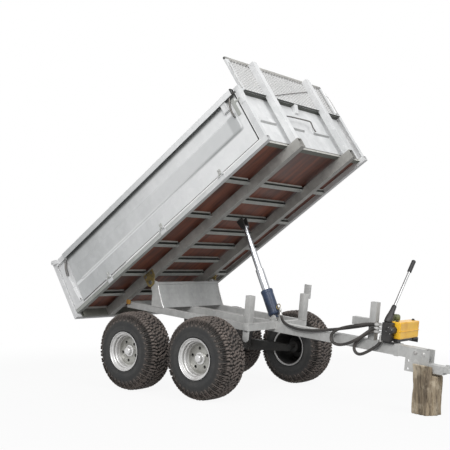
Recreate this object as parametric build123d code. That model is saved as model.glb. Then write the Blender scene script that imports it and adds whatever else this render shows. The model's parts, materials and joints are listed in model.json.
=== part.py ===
from build123d import *
from math import atan2, cos, degrees, hypot, pi, radians, sin, tan
import os

# A small galvanised tipping trailer on a four-wheel bogie, with its bed raised.
# Millimetres and degrees. +X is forward, along the drawbar, +Y is left and +Z is up.
# Pieces are drawn about the point on the ground under the middle of the bogie.
# At the end all move along X, so that the origin is on the ground under the middle of the whole trailer.
# Chassis pieces are drawn level about the bogie's pivot, and lean with it afterwards.
# Bed pieces are drawn level about the tipping pivot, and tip with it afterwards.

# Wheels
tyre_radius = 330
tyre_width = 279
lug_height = 15
lug_width = 30
lug_slant = 24
lugs_per_side = 13
lug_groove = 9
rim_radius = 163
rim_bead = 150
bead_clearance = 0.1
rim_dish = 78
hub_radius = 34
hub_dome = 26
wheel_hole_circle = 76
wheel_hole_radius = 10
wheel_holes = 5
flats_per_wheel = 24
hub_step = 16
wheel_base = 786
tyre_frame_gap = 86.5

# Bogie
axle_radius = 24
stub_radius = 18
beam_side = 60
beam_gap = 12
bearing_clearance = 0.05

# Chassis, heights above the bogie's pivot
nose_down = 5.4
frame_half_width = 405
rail_width = 40
rail_height = 55
rail_top = 324
rail_rear = -765
crossbeam_front = 618
crossbeam_depth = 50
crossbeam_step = 8
tube_wall = 3
drawbar_side = 80
drawbar_wall = 4
drawbar_front = 1965

# Posts
post_width = 63
post_depth = 52
post_top = 550
lug_plate_width = 60
lug_plate_drop = 92
lug_plate_thick = 8
fin_height = 84
fin_width = 48
fin_thick = 6
fin_lap = 46
arm_post_x = 1508
arm_post_side = 55
arm_post_top = 612
arm_length = 150
arm_height = 60
arm_middle = 449

# Tower
tower_plate = 6
tower_clearance = 3
tower_foot_front = -327
tower_foot_rear = -469
tower_kink_x = -386
tower_kink_z = 433
tower_head_front = -412
tower_head_z = 512
tower_tube_radius = 17
pivot_x = -487
pivot_z = 525
pivot_pin_radius = 15
pivot_ear_radius = 26

# Hitch
hitch_plate_thick = 8
hitch_rear = 1822
hitch_front = 2010
hitch_bottom = 147
hitch_hole_radius = 8.5
hitch_hole_spacing = 60
hitch_hole_inset = 27
hitch_hole_lift = 19
coupling_height = 60
coupling_front = 2125
ball_radius = 25.4
cup_wall = 9
cup_lip = 12

# Log
log_radius = 112
log_x = 1992
log_y = 6
log_cheek = 68
log_cheek_y = 62

# Bed, from the tipping pivot
tip_angle = 39
bed_half_width = 730
bed_rear = -645
bed_front = 1783
side_rail_bottom = 90
side_rail_top = 134
side_rail_width = 40
side_rail_front = 1849
longitudinal_bottom = 33
longitudinal_top = 113
longitudinal_width = 56
longitudinal_outer = frame_half_width + tower_clearance
longitudinal_rear = -618
longitudinal_front = 1903
pivot_plate_thick = 8
cross_bottom = 93
cross_width = 40
cross_x = [-350, -20, 430, 861, 1330]
short_cross_x = [205, 645, 1105]
cross_wall = 4
rear_beam_bottom = 45
floor_thick = 13
upright_depth = 52
upright_rear = 1838
upright_top = 900

# Headboard, posts, sides and tailgate
wall_bottom = 141
wall_top = 624
sheet = 3
lip_drop = 50
lip_out = 35
swage_low = 303
swage_high = 454
swage_out = 9
side_rear = -516
side_gap = 5
guard_top = 926
guard_depth = 20
mesh_thick = 3
mesh_pitch = 96
mesh_rise = 62
mesh_strand = 12
guard_half_width = 672
guard_bar = 26
gate_thick = 42
gate_bottom = 57
gate_gap = 7
gate_pin_radius = 8
gate_hinge_z = 632
gate_head = 8
ear_thick = 7

# Hinges and latches
hinge_x = [-130, 605, 1340]
hinge_out = 12
hinge_radius = 7
hinge_pin_radius = 4
hinge_length = 60
hinge_strap = 46
strap_thick = 4
latch_inset = 62
latch_width = 32
latch_length = 150
latch_top = 560
latch_plate = 5
tail_latch_length = 264
tail_latch_bottom = 158
tail_latch_width = 23
tail_latch_lean = 42

# Cylinder
foot_x = 580
foot_lift = 32
top_x = 861
top_z = 20
barrel_radius = 45
barrel_wall = 6
barrel_start = 29
barrel_floor = 8
barrel_end = 245
stage_radii = [35, 27.5, 21]
stage_wall = 3
stage_step = 4
stroke = 185
gland_clearance = 0.3
gland_length = 22
stage_clearance = 5
eye_radius = 20
eye_width = 44
eye_bore = 12.5
foot_pin_radius = 12
cheek_thick = 8
cheek_gap = 2.5
cheek_radius = 23
cheek_half_width = 36
port_radius = 10
elbow_x = barrel_radius + 14
elbow_top = barrel_start + 26
elbow_drop = 34

# Pump, with its tank across the drawbar
pump_gap = 125.5
pump_x = arm_post_x + arm_post_side / 2 + pump_gap
base_rear = pump_x - 29
base_front = pump_x + 55
base_half_width = 62
base_thick = 16
tank_depth = 86
tank_right = -20
tank_length = 312
tank_height = 130
foot_height = 19
foot_length = 240
tank_corner = 14
head_rear = pump_x - 35
head_front = pump_x + 39
head_width = 70
head_height = 140
flange_x = pump_x + 31
flange_z = 425
flange_radius = 30
flange_reach = 10
pump_port_x = pump_x - 69
pump_port_y = [-38, -66]
pump_port_z = [452, 452, 425, 398]
drain_x = pump_x - 46
drain_z = 364
valve_radius = 32
valve_y = 128
valve_bottom = 400
valve_top = 572
strap_x = pump_x + 61
strap_width = 30
strap_gauge = 5
lever_x = pump_x - 15
lever_y = -55
lever_z = 490
lever_lean = 36.1
lever_length = 612
lever_radius = 8
neck_radius = 14
neck_length = 30
socket_radius = 18
socket_length = 96
grip_length = 112
grip_radius = 14

# Hoses, as points on the chassis
hose_radius = 7
hose_gap = 0.3
first_run = 36
feed_route = [(664, -19, 345), (708, -48, 332), (764, -62, 317), (832, -65, 306), (908, -64, 305),
              (985, -58, 313), (1066, -52, 328), (1150, -49, 345), (1236, -48, 365), (1322, -47, 387),
              (1404, -46, 409), (1476, -43, 431), (1543, -38, 452), (1592, -38, 452)]
return_route = [(1592, -66, 452), (1540, -66, 452), (1472, -67, 439), (1404, -70, 420), (1336, -72, 401),
                (1280, -75, 382), (1236, -78, 362), (1207, -81, 341), (1189, -85, 312), (1192, -88, 279),
                (1216, -91, 256), (1249, -93, 248), (1292, -94, 252), (1346, -95, 270), (1402, -93, 301),
                (1456, -88, 341), (1504, -78, 385), (1548, -66, 425), (1592, -66, 425)]
link_route = [(1592, -66, 398), (1549, -66, 398), (1497, -66, 372), (1449, -65, 336), (1414, -64, 302),
              (1394, -63, 271), (1389, -63, 241), (1403, -64, 215), (1429, -65, 201), (1464, -66, 207),
              (1505, -67, 230), (1543, -67, 256), (1576, -67, 281), (1603, -66, 306), (1615, -66, 336),
              (1615, -66, 364)]


def slab(x0, x1, y0, y1, z0, z1):
    return Pos((x0 + x1) / 2, (y0 + y1) / 2, (z0 + z1) / 2) * Box(x1 - x0, y1 - y0, z1 - z0)


def tube(x0, x1, y0, y1, z0, z1, wall, along):
    """A rectangular tube, open at both ends along one axis."""
    low = {"x": x0, "y": y0, "z": z0}
    high = {"x": x1, "y": y1, "z": z1}
    for axis in "xyz":
        step = -1 if axis == along else wall
        low[axis] += step
        high[axis] -= step
    inside = slab(low["x"], high["x"], low["y"], high["y"], low["z"], high["z"])
    return slab(x0, x1, y0, y1, z0, z1) - inside


def plate_xz(points, y0, y1):
    """A flat plate with its outline in X and Z, from y0 to y1."""
    return extrude(Plane.XZ.offset(-y1) * Polygon(*points, align=None), amount=y1 - y0, dir=(0, -1, 0))


def plate_yz(points, x0, x1):
    """A flat plate or a folded profile with its outline in Y and Z, from x0 to x1."""
    return extrude(Plane.YZ.offset(x0) * Polygon(*points, align=None), amount=x1 - x0, dir=(1, 0, 0))


def turned(outline, sides):
    """A ring turned about Y from an outline of (y, radius) points, in flats rather than rounds."""
    rings = []
    for k in range(sides):
        a = 2 * pi * (k + 0.5) / sides
        rings.append([Vector(r * sin(a), y, r * cos(a)) for y, r in outline])
    faces = []
    for k in range(sides):
        here = rings[k]
        there = rings[(k + 1) % sides]
        for i in range(len(outline)):
            j = (i + 1) % len(outline)
            corners = [here[i], here[j], there[j], there[i]]
            faces.append(Face(Wire.make_polygon(corners)))
    return Solid(Shell(faces))


def rod_y(radius, x, z, y0, y1):
    return Pos(x, (y0 + y1) / 2, z) * Rot(90, 0, 0) * Cylinder(radius, y1 - y0)


def rod_x(radius, y, z, x0, x1):
    return Pos((x0 + x1) / 2, y, z) * Rot(0, 90, 0) * Cylinder(radius, x1 - x0)


def rod_z(radius, x, y, z0, z1):
    return Pos(x, y, (z0 + z1) / 2) * Cylinder(radius, z1 - z0)


def both_sides(shape):
    return [shape, mirror(shape, about=Plane.XZ)]


lean = Pos(0, 0, tyre_radius) * Rot(0, nose_down, 0)
tip = lean * Pos(pivot_x, 0, pivot_z) * Rot(0, -tip_angle, 0)
parts = {}


def add(name, place, *shapes):
    solids = []
    for shape in shapes:
        solids += (place * shape).solids()
    parts[name] = Compound(children=solids)


# Chassis frame

frame_inner = frame_half_width - rail_width
rail_bottom = rail_top - rail_height
crossbeam_rear = crossbeam_front - crossbeam_depth
drawbar_half = drawbar_side / 2
drawbar_bottom = rail_top - drawbar_side


def chassis_rails():
    return both_sides(tube(rail_rear, crossbeam_rear, -frame_half_width, -frame_inner,
                           rail_bottom, rail_top, tube_wall, "x"))


def crossbeams():
    rear_end = rail_rear + crossbeam_depth
    rear = tube(rail_rear, rear_end, -frame_inner, -drawbar_half, rail_bottom, rail_top, tube_wall, "y")
    front = tube(crossbeam_rear, crossbeam_front, -frame_half_width - crossbeam_step, -drawbar_half,
                 rail_bottom, rail_top, tube_wall, "y")
    return both_sides(rear) + both_sides(front)


def drawbar():
    return tube(rail_rear, drawbar_front, -drawbar_half, drawbar_half,
                drawbar_bottom, rail_top, drawbar_wall, "x")


def tower_side():
    outline = [(tower_foot_rear, rail_top), (tower_foot_front, rail_top), (tower_kink_x, tower_kink_z),
               (tower_head_front, tower_head_z), (tower_head_front, pivot_z + 12),
               (pivot_x, pivot_z + pivot_ear_radius), (pivot_x - pivot_ear_radius, pivot_z),
               (tower_foot_rear, tower_kink_z)]
    plate = plate_xz(outline, -frame_half_width, -frame_half_width + tower_plate)
    plate += rod_y(pivot_ear_radius, pivot_x, pivot_z, -frame_half_width, -frame_half_width + tower_plate)
    return plate - rod_y(pivot_pin_radius + bearing_clearance, pivot_x, pivot_z,
                         -frame_half_width - 1, -frame_half_width + tower_plate + 1)


def tower_sheets():
    inner = frame_half_width - tower_plate
    front = plate_xz([(tower_foot_front - 2, rail_top), (tower_kink_x - 2, tower_kink_z),
                      (tower_head_front - 2, tower_head_z), (tower_head_front - 8, tower_head_z),
                      (tower_kink_x - 8, tower_kink_z), (tower_foot_front - 8, rail_top)], -inner, inner)
    rear = plate_xz([(tower_foot_rear + 2, rail_top), (tower_foot_rear + 8, rail_top),
                     (tower_foot_rear + 8, tower_kink_z), (pivot_x + 4, tower_head_z - 22),
                     (pivot_x - 2, tower_head_z - 22), (tower_foot_rear + 2, tower_kink_z)], -inner, inner)
    top = rod_y(tower_tube_radius, tower_head_front - 18, tower_head_z + 8, -inner, inner)
    return [front, rear, top]


# Pivot plates hang from the bed's longitudinals, just outside the tower

pivot_plate_inner = longitudinal_outer
pivot_plate_outer = pivot_plate_inner + pivot_plate_thick


def pivot_pins():
    pin = rod_y(pivot_pin_radius, pivot_x, pivot_z, -pivot_plate_outer - 8, -frame_half_width + 24)
    head = rod_y(pivot_pin_radius + 6, pivot_x, pivot_z, -frame_half_width + tower_plate, -frame_half_width + 24)
    return both_sides(pin + head)


def pivot_plate():
    outline = [(-52, cross_bottom), (70, cross_bottom), (70, longitudinal_bottom),
               (24, -26), (-24, -34), (-46, -10)]
    plate = plate_xz(outline, -pivot_plate_outer, -pivot_plate_inner)
    return plate - rod_y(pivot_pin_radius + bearing_clearance, 0, 0, -pivot_plate_outer - 1, -pivot_plate_inner + 1)


def support_post():
    outer = frame_half_width + crossbeam_step
    return tube(crossbeam_front - post_depth, crossbeam_front, -outer, -outer + post_width,
                rail_top, post_top, tube_wall, "z")


def post_lug():
    middle = crossbeam_front - lug_plate_width / 2
    inside = frame_half_width - 6
    plate = slab(middle - lug_plate_width / 2, middle + lug_plate_width / 2,
                 -inside, -inside + lug_plate_thick, rail_bottom - lug_plate_drop + lug_plate_width / 2, rail_bottom)
    return plate + rod_y(lug_plate_width / 2, middle, rail_bottom - lug_plate_drop + lug_plate_width / 2,
                         -inside, -inside + lug_plate_thick)


def guide_fin():
    outer = frame_half_width + crossbeam_step
    outline = [(crossbeam_front - fin_width, post_top - fin_lap), (crossbeam_front, post_top - fin_lap),
               (crossbeam_front - 4, post_top + fin_height * 0.55), (crossbeam_front - 22, post_top + fin_height),
               (crossbeam_front - 34, post_top + fin_height)]
    return plate_xz(outline, outer, outer + fin_thick)


def arm_post():
    half = arm_post_side / 2
    post = tube(arm_post_x - half, arm_post_x + half, -half, half, rail_top, arm_post_top, tube_wall, "z")
    arm = tube(arm_post_x - half - arm_length, arm_post_x - half, -half, half,
               arm_middle - arm_height / 2, arm_middle + arm_height / 2, tube_wall, "x")
    return [post, arm]


hitch_hole_x = hitch_rear + hitch_hole_inset
hitch_hole_z = [hitch_bottom + hitch_hole_lift, hitch_bottom + hitch_hole_lift + hitch_hole_spacing]


def hitch_plate():
    plate = slab(hitch_rear, hitch_front, -drawbar_half - hitch_plate_thick, -drawbar_half, hitch_bottom, rail_top)
    for z in hitch_hole_z:
        plate -= rod_y(hitch_hole_radius, hitch_hole_x, z, -drawbar_half - hitch_plate_thick - 1, -drawbar_half + 1)
    return plate


def coupling():
    """A tube shank bolted between the hitch plates, with a ball cup and its catch on the front."""
    middle = (hitch_hole_z[0] + hitch_hole_z[1]) / 2
    top = middle + coupling_height / 2
    shank = tube(hitch_front - 70, coupling_front, -drawbar_half, drawbar_half,
                 middle - coupling_height / 2, top, 5, "x")
    shank += slab(coupling_front - 4, coupling_front, -drawbar_half, drawbar_half, middle - coupling_height / 2, top)
    cup_radius = ball_radius + cup_wall
    cup_x = coupling_front + cup_radius
    cup = rod_z(cup_radius, cup_x, 0, middle - cup_lip, top - 8)
    cup += slab(coupling_front, cup_x, -cup_radius, cup_radius, middle - cup_lip, top)
    cup -= rod_z(ball_radius, cup_x, 0, middle - cup_lip - 1, middle + ball_radius * 0.7)
    catch = slab(coupling_front + 4, cup_x + 8, -9, 9, top - 9, top + 14)
    return [shank + cup + catch]


def support_log():
    """A split log that stands on the ground, with a taller side that leans on the hitch plate."""
    outline = [(log_radius * cos(a), log_radius * sin(a)) for a in [radians(d) for d in (20, 58, 104, 150, 188)]]
    outline += [(-0.86 * log_radius, -0.62 * log_radius), (0.3 * log_radius, -0.98 * log_radius),
                (0.9 * log_radius, -0.4 * log_radius)]
    log = extrude(Pos(log_x, log_y, 0) * Polygon(*outline, align=None), amount=2 * tyre_radius, dir=(0, 0, 1))
    far = 3 * log_radius
    above = slab(log_x - far, log_x + far, -log_cheek_y, far, hitch_bottom, hitch_bottom + 4 * tyre_radius)
    above += slab(log_x - far, log_x + far, -far, far, hitch_bottom + log_cheek, hitch_bottom + 4 * tyre_radius)
    return log - lean * above


# Bogie

tyre_inner = frame_half_width + tyre_frame_gap
tyre_outer = tyre_inner + tyre_width
rim_disc = tyre_outer - rim_dish
beam_outer = tyre_inner - beam_gap
beam_inner = beam_outer - beam_side + 12


def bogie_tube():
    return rod_y(axle_radius, 0, 0, -beam_outer - 6, beam_outer + 6)


def hanger():
    """A tapering plate from the chassis rail down to the bogie tube."""
    outline = [(-90, rail_bottom), (90, rail_bottom), (44, 20), (30, -34), (-30, -34), (-44, 20)]
    plate = plate_xz(outline, -frame_inner - 24, -frame_inner - 14)
    return plate - rod_y(axle_radius + bearing_clearance, 0, 0, -frame_inner - 30, -frame_inner)


def bogie_beam():
    """A walking beam with a deep middle, a sleeve on the bogie tube and an axle stub at each end."""
    half = wheel_base / 2
    outline = [(-half - 38, -26), (-half - 38, 26), (-half + 40, 34), (-60, 52), (60, 52), (half - 40, 34),
               (half + 38, 26), (half + 38, -26), (half - 40, -30), (60, -44), (-60, -44), (-half + 40, -30)]
    beam = plate_xz(outline, -beam_outer, -beam_inner)
    for x in (-half, half):
        beam += rod_y(stub_radius, x, 0, -rim_disc - 12, -beam_outer)
        beam += rod_y(stub_radius + 16, x, 0, -beam_outer - 10, -beam_outer)
    return beam - rod_y(axle_radius + bearing_clearance, 0, 0, -beam_outer - 30, -beam_inner + 30)


def add_bogie():
    level = Pos(0, 0, tyre_radius)
    add("bogie_tube", level, bogie_tube())
    add("bogie_hangers", lean, *both_sides(hanger()))
    for name, beam in zip(("bogie_beam_right", "bogie_beam_left"), both_sides(bogie_beam())):
        add(name, level, beam)


# Wheels, drawn at the origin with the outer side at -Y

def tyre():
    half = tyre_width / 2
    tread = tyre_radius - lug_height
    bead = rim_bead + bead_clearance
    outline = [(-half + 22, bead), (-half + 8, rim_radius + 6), (-half + 1, 236), (-half + 14, 290),
               (-half + 46, tread), (half - 46, tread), (half - 14, 290), (half - 1, 236),
               (half - 8, rim_radius + 6), (half - 22, bead)]
    lug = lug_block()
    lugs = []
    pitch = 360 / lugs_per_side
    for k in range(lugs_per_side):
        lugs.append(Rot(0, k * pitch, 0) * lug)
        lugs.append(Rot(0, (k + 0.5) * pitch, 0) * mirror(lug, about=Plane.XZ))
    return turned(outline, flats_per_wheel).fuse(*lugs)


def lug_block():
    """One slanted lug that starts near the middle and wraps over the shoulder, at the wheel's top."""
    half = tyre_width / 2
    middle = -half / 2
    top = tyre_radius - 2.3
    outline = [(-lug_groove, top - 24), (-lug_groove, top), (-half + 36, top - 3),
               (-half + 6, top - 26), (-half + 1, 268), (-half + 22, 262)]
    lug = plate_yz(outline, -lug_width / 2, lug_width / 2)
    return Pos(0, middle, 0) * Rot(0, 0, lug_slant) * Pos(0, -middle, 0) * lug


def rim():
    """A deep-dished steel rim, with a domed hub, a ring of holes and a bore for the axle stub."""
    half = tyre_width / 2
    outer = -half + 2
    disc = -half + rim_dish
    front = disc - hub_step
    outline = [(outer, rim_radius), (outer, rim_radius - 9), (outer + 12, rim_bead - 10), (disc, rim_bead - 24),
               (disc, hub_radius + 12), (front, hub_radius), (front - hub_dome, hub_radius * 0.5),
               (front - hub_dome, 4), (disc + 26, 4), (disc + 26, hub_radius + 12),
               (disc + 6, rim_bead - 22), (half - 2, rim_radius - 6),
               (half - 2, rim_radius), (half - 22, rim_bead), (-half + 22, rim_bead)]
    body = turned(outline, flats_per_wheel)
    body += rod_y(6, 0, 0, front - hub_dome, disc + 26)
    body -= rod_y(stub_radius + bearing_clearance, 0, 0, disc - 12, half)
    corners = [radians(a) for a in range(0, 360, 45)]
    hole = plate_xz([(wheel_hole_circle + wheel_hole_radius * cos(a), wheel_hole_radius * sin(a)) for a in corners],
                    disc - 30, disc + 12)
    for k in range(wheel_holes):
        turn = Rot(0, k * 360 / wheel_holes, 0)
        body -= turn * hole
    return body


def add_wheels():
    middle = tyre_outer - tyre_width / 2
    shapes = {"tyre": tyre(), "rim": rim()}
    for end, x in (("front", wheel_base / 2), ("rear", -wheel_base / 2)):
        for side, place in (("right", Pos(x, -middle, tyre_radius)),
                            ("left", Pos(x, middle, tyre_radius) * Rot(0, 0, 180))):
            for piece, shape in shapes.items():
                add(f"{piece}_{end}_{side}", place, shape)


# Bed

def longitudinals():
    return both_sides(tube(longitudinal_rear, longitudinal_front, -longitudinal_outer,
                           -longitudinal_outer + longitudinal_width, longitudinal_bottom, longitudinal_top,
                           tube_wall, "x"))


def side_rails():
    return both_sides(tube(bed_rear, side_rail_front, -bed_half_width, -bed_half_width + side_rail_width,
                           side_rail_bottom, side_rail_top, tube_wall, "x"))


cross_inner = bed_half_width - side_rail_width


def channel(x, y0, y1, z0, z1):
    """A cross-member folded as a channel that opens to the rear."""
    outer = slab(x - cross_width / 2, x + cross_width / 2, y0, y1, z0, z1)
    return outer - slab(x - cross_width, x + cross_width / 2 - cross_wall, y0 - 1, y1 + 1, z0 + cross_wall, z1 - cross_wall)


def cross_members():
    inner = longitudinal_outer - longitudinal_width
    members = []
    for x in cross_x + short_cross_x:
        members.append(channel(x, -inner, inner, cross_bottom, side_rail_top))
    for x in cross_x:
        members += both_sides(channel(x, -cross_inner, -longitudinal_outer, cross_bottom, side_rail_top))
    return members


def bed_end_beams():
    """The front channel with its row of holes, and the deeper rear beam."""
    front = channel(bed_front - 6, -cross_inner, cross_inner, longitudinal_top, side_rail_top)
    for y in (-560, 0, 560):
        front -= rod_x(5, y, (longitudinal_top + side_rail_top) / 2, bed_front - 40, bed_front + 40)
    rear = tube(bed_rear, longitudinal_rear, -cross_inner, cross_inner, rear_beam_bottom, side_rail_top, tube_wall, "y")
    return [front, rear]


def bed_floor():
    return slab(bed_rear, bed_front + 15, -cross_inner, cross_inner, side_rail_top, side_rail_top + floor_thick)


def headboard():
    """A folded sheet with a crease low down and a lip that turns forward and down along the top."""
    back = upright_rear - lip_out - sheet
    z0 = side_rail_top
    crease = 335
    outline = [(back, crease + 12), (back + 10, crease), (back + 10, z0), (back + 10 + sheet, z0),
               (back + 10 + sheet, crease + 2), (back + sheet, crease + 14), (back + sheet, wall_top - sheet),
               (upright_rear - sheet, wall_top - sheet), (upright_rear - sheet, wall_top - lip_drop),
               (upright_rear, wall_top - lip_drop), (upright_rear, wall_top), (back, wall_top)]
    half = bed_half_width - side_rail_width
    board = plate_xz(outline, -half, half)
    tab = slab(upright_rear, upright_rear + 8, -22, 22, wall_top - 75, wall_top)
    return board + tab


def corner_posts():
    """A square post in front of each drop side, and a wider folded one behind it."""
    y0 = -bed_half_width
    front = slab(bed_front + side_gap, upright_rear, y0, y0 + side_rail_width, side_rail_top, wall_top)
    front -= slab(bed_front, upright_rear - 4, y0 + 4, y0 + side_rail_width + 1, side_rail_top - 1, wall_top - 4)
    rear = slab(bed_rear, side_rear - side_gap, y0, y0 + side_rail_width, side_rail_top, wall_top - lip_drop)
    rear -= slab(bed_rear + 4, side_rear - side_gap - 4, y0 + 4, y0 + side_rail_width + 1,
                 side_rail_top - 1, wall_top - lip_drop - 4)
    cap = slab(bed_rear, side_rear - side_gap, y0 - 24, y0 + side_rail_width, wall_top - lip_drop, wall_top)
    ear_x = gate_hinge_x
    ear = plate_xz([(bed_rear + 40, wall_top), (bed_rear + 40, wall_top - 40), (ear_x - 10, gate_hinge_z - 18),
                    (ear_x - 20, gate_hinge_z), (ear_x - 12, gate_hinge_z + 18), (ear_x + 10, gate_hinge_z + 20)],
                   y0 - 24 - ear_thick, y0 - 24)
    ear -= rod_y(gate_pin_radius + bearing_clearance, ear_x, gate_hinge_z, y0 - 60, y0)
    return both_sides(front) + both_sides(rear + cap + ear) + both_sides(tail_latch())


def tail_latch():
    """The long flat lever that lies on the rear post, leaning back, with a hole near its foot."""
    foot = side_rear - side_gap - 1 - tail_latch_width
    top = tail_latch_bottom + tail_latch_length
    outline = [(foot, tail_latch_bottom), (foot + tail_latch_width, tail_latch_bottom),
               (foot + tail_latch_width - tail_latch_lean, top), (foot - tail_latch_lean, top)]
    lever = plate_xz(outline, -bed_half_width - latch_plate, -bed_half_width)
    return lever - rod_y(5, foot + tail_latch_width / 2, tail_latch_bottom + 12,
                         -bed_half_width - latch_plate - 1, -bed_half_width + 1)


gate_hinge_x = bed_rear - gate_gap - gate_thick / 2


def uprights():
    return both_sides(tube(upright_rear, upright_rear + upright_depth, -longitudinal_outer,
                           -longitudinal_outer + longitudinal_width, longitudinal_top, upright_top, tube_wall, "z"))


def mesh_guard():
    """A flat frame above the headboard, with expanded mesh cut as rows of diamonds in one sheet."""
    front = upright_rear
    back = front - guard_depth
    inner_half = guard_half_width - guard_bar
    low = wall_top + guard_bar
    high = guard_top - guard_bar
    outer = slab(back, front, -guard_half_width, guard_half_width, wall_top, guard_top)
    frame = outer - slab(back - 1, front + 1, -inner_half, inner_half, low, high)
    mesh = slab(front - mesh_thick, front, -inner_half, inner_half, low, high)
    columns = int((2 * inner_half - mesh_strand) / mesh_pitch)
    rows = int((high - low - mesh_strand) / (mesh_rise / 2)) - 1
    half_y = (mesh_pitch - mesh_strand) / 2
    half_z = (mesh_rise - mesh_strand) / 2
    middle = (low + high) / 2
    holes = []
    for row in range(rows):
        z = middle + (row - (rows - 1) / 2) * mesh_rise / 2
        count = columns - row % 2
        for column in range(count):
            y = (column - (count - 1) / 2) * mesh_pitch
            diamond = [(y - half_y, z), (y, z - half_z), (y + half_y, z), (y, z + half_z)]
            holes.append(plate_yz(diamond, front - mesh_thick - 1, front + 1))
    return frame + (mesh - holes)


# Drop sides, drawn for the right side

def side_panel():
    y0 = -bed_half_width
    lip = y0 - lip_out
    profile = [(y0, wall_bottom), (y0, wall_top - sheet), (lip + sheet, wall_top - sheet),
               (lip + sheet, wall_top - lip_drop), (lip, wall_top - lip_drop), (lip, wall_top),
               (y0 + sheet, wall_top), (y0 + sheet, wall_bottom)]
    panel = plate_yz(profile, side_rear, bed_front)
    band = swage(y0)
    return panel + band - Pos(0, sheet, 0) * band


def swage(y0):
    """The long pressed band, with sloping edges and rounded ends."""
    length = bed_front - side_rear - 150
    middle = (bed_front + side_rear) / 2
    height = swage_high - swage_low
    face = Plane.XZ.offset(-y0 - 0.01) * Pos(middle, (swage_high + swage_low) / 2) * RectangleRounded(length, height, 34)
    return extrude(face, amount=swage_out, taper=45)


hinge_y = -bed_half_width - hinge_out
hinge_z = side_rail_top + 4


def knuckle(x0, x1):
    """An eight-sided hinge knuckle."""
    outline = [(hinge_y + hinge_radius * cos(radians(a)), hinge_z + hinge_radius * sin(radians(a)))
               for a in range(0, 360, 45)]
    return plate_yz(outline, x0, x1)


def side_fittings():
    """Hinge straps with their knuckles, and the two latch levers, all on the drop side."""
    y0 = -bed_half_width
    pieces = []
    for x in hinge_x:
        strap = slab(x - 14, x + 14, y0 - strap_thick, y0, wall_bottom + 2, wall_bottom + hinge_strap)
        arm = slab(x - 14, x + 14, hinge_y - 3, y0, hinge_z + 2, hinge_z + 8)
        bore = rod_x(hinge_pin_radius + bearing_clearance, hinge_y, hinge_z, x - 15, x + 15)
        pieces.append(strap + arm + knuckle(x - 14, x + 14) - bore)
    x0 = bed_front - latch_inset
    lever = slab(x0, x0 + latch_width, y0 - latch_plate, y0, latch_top - latch_length, latch_top)
    hook = slab(x0, bed_front + 24, y0 - latch_plate, y0 - 1, latch_top - 46, latch_top - 30)
    pieces.append(lever + hook)
    return pieces


def side_brackets():
    """The hinge brackets on the bed's side rail, each with the pin that the strap turns on."""
    y0 = -bed_half_width
    pieces = []
    for x in hinge_x:
        bracket = rod_x(hinge_pin_radius, hinge_y, hinge_z, x - 16, x + 16)
        for x0 in (x - hinge_length / 2, x + 16):
            bracket += knuckle(x0, x0 + hinge_length / 2 - 16)
            bracket += slab(x0, x0 + hinge_length / 2 - 16, hinge_y - 3, y0, hinge_z - 10, hinge_z - 4)
        bracket += slab(x - hinge_length / 2, x + hinge_length / 2, y0 - 3, y0, side_rail_bottom + 4, hinge_z - 7)
        pieces += both_sides(bracket)
    return pieces


# Tailgate

def tailgate():
    x1 = bed_rear - gate_gap
    x0 = x1 - gate_thick
    half = bed_half_width + 12
    gate_top = gate_hinge_z + gate_head
    gate = slab(x0, x1, -half, half, gate_bottom, gate_top)
    gate -= slab(x0 - 1, x1 - sheet, -half + 32, half - 32, gate_bottom + 30, gate_top - 34)
    gate += slab(x1 - 16, x1 - sheet + 0.5, -half + 90, half - 90, 250, 330)
    for y in (-half, half):
        out = 1 if y > 0 else -1
        y1 = y + out * 22
        gate += rod_y(gate_pin_radius, gate_hinge_x, gate_hinge_z, min(y, y1), max(y, y1))
    return gate


# Cylinder, drawn upright with its foot pin at the origin

foot_z = rail_top + foot_lift
top_pin_x = pivot_x + top_x * cos(radians(tip_angle)) - top_z * sin(radians(tip_angle))
top_pin_z = pivot_z + top_x * sin(radians(tip_angle)) + top_z * cos(radians(tip_angle))
cylinder_length = hypot(top_pin_x - foot_x, top_pin_z - foot_z)
cylinder_angle = degrees(atan2(foot_x - top_pin_x, top_pin_z - foot_z))
cylinder = lean * Pos(foot_x, 0, foot_z) * Rot(0, -cylinder_angle, 0)


def round_tube(radius, bore, z0, z1):
    return rod_z(radius, 0, 0, z0, z1) - rod_z(bore, 0, 0, z0 - 1, z1 + 1)


def barrel():
    body = round_tube(barrel_radius, barrel_radius - barrel_wall, barrel_start + barrel_floor, barrel_end)
    body += rod_z(barrel_radius, 0, 0, barrel_start, barrel_start + barrel_floor)
    body += round_tube(barrel_radius + 2, stage_radii[0] + gland_clearance, barrel_end - gland_length, barrel_end)
    body += slab(-eye_radius, eye_radius, -eye_width / 2, eye_width / 2, 0, barrel_start)
    body += rod_y(eye_radius, 0, 0, -eye_width / 2, eye_width / 2)
    body -= rod_y(foot_pin_radius + bearing_clearance, 0, 0, -eye_width, eye_width)
    port = rod_x(port_radius, 0, elbow_top, barrel_radius - barrel_wall / 2, elbow_x)
    port += Pos(elbow_x, 0, elbow_top) * Sphere(port_radius)
    port += rod_z(port_radius, elbow_x, 0, elbow_top - elbow_drop, elbow_top)
    return body + port


stage_length = barrel_end + stage_step - barrel_start - barrel_floor - stage_clearance


def stage(k):
    """One chrome stage. Each runs in the gland of the one outside it."""
    radius = stage_radii[k]
    top = barrel_end + (k + 1) * (stroke + stage_step)
    bottom = top - stage_length
    if k == len(stage_radii) - 1:
        eye = cylinder_length
        body = rod_z(radius, 0, 0, bottom, eye - eye_radius + 6)
        body += rod_y(eye_radius, 0, eye, -eye_width / 2, eye_width / 2)
        return body - rod_y(eye_bore, 0, eye, -eye_width, eye_width)
    bore = stage_radii[k + 1]
    body = round_tube(radius, radius - stage_wall, bottom, top)
    return body + round_tube(radius, bore + gland_clearance, top - gland_length, top)


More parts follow.
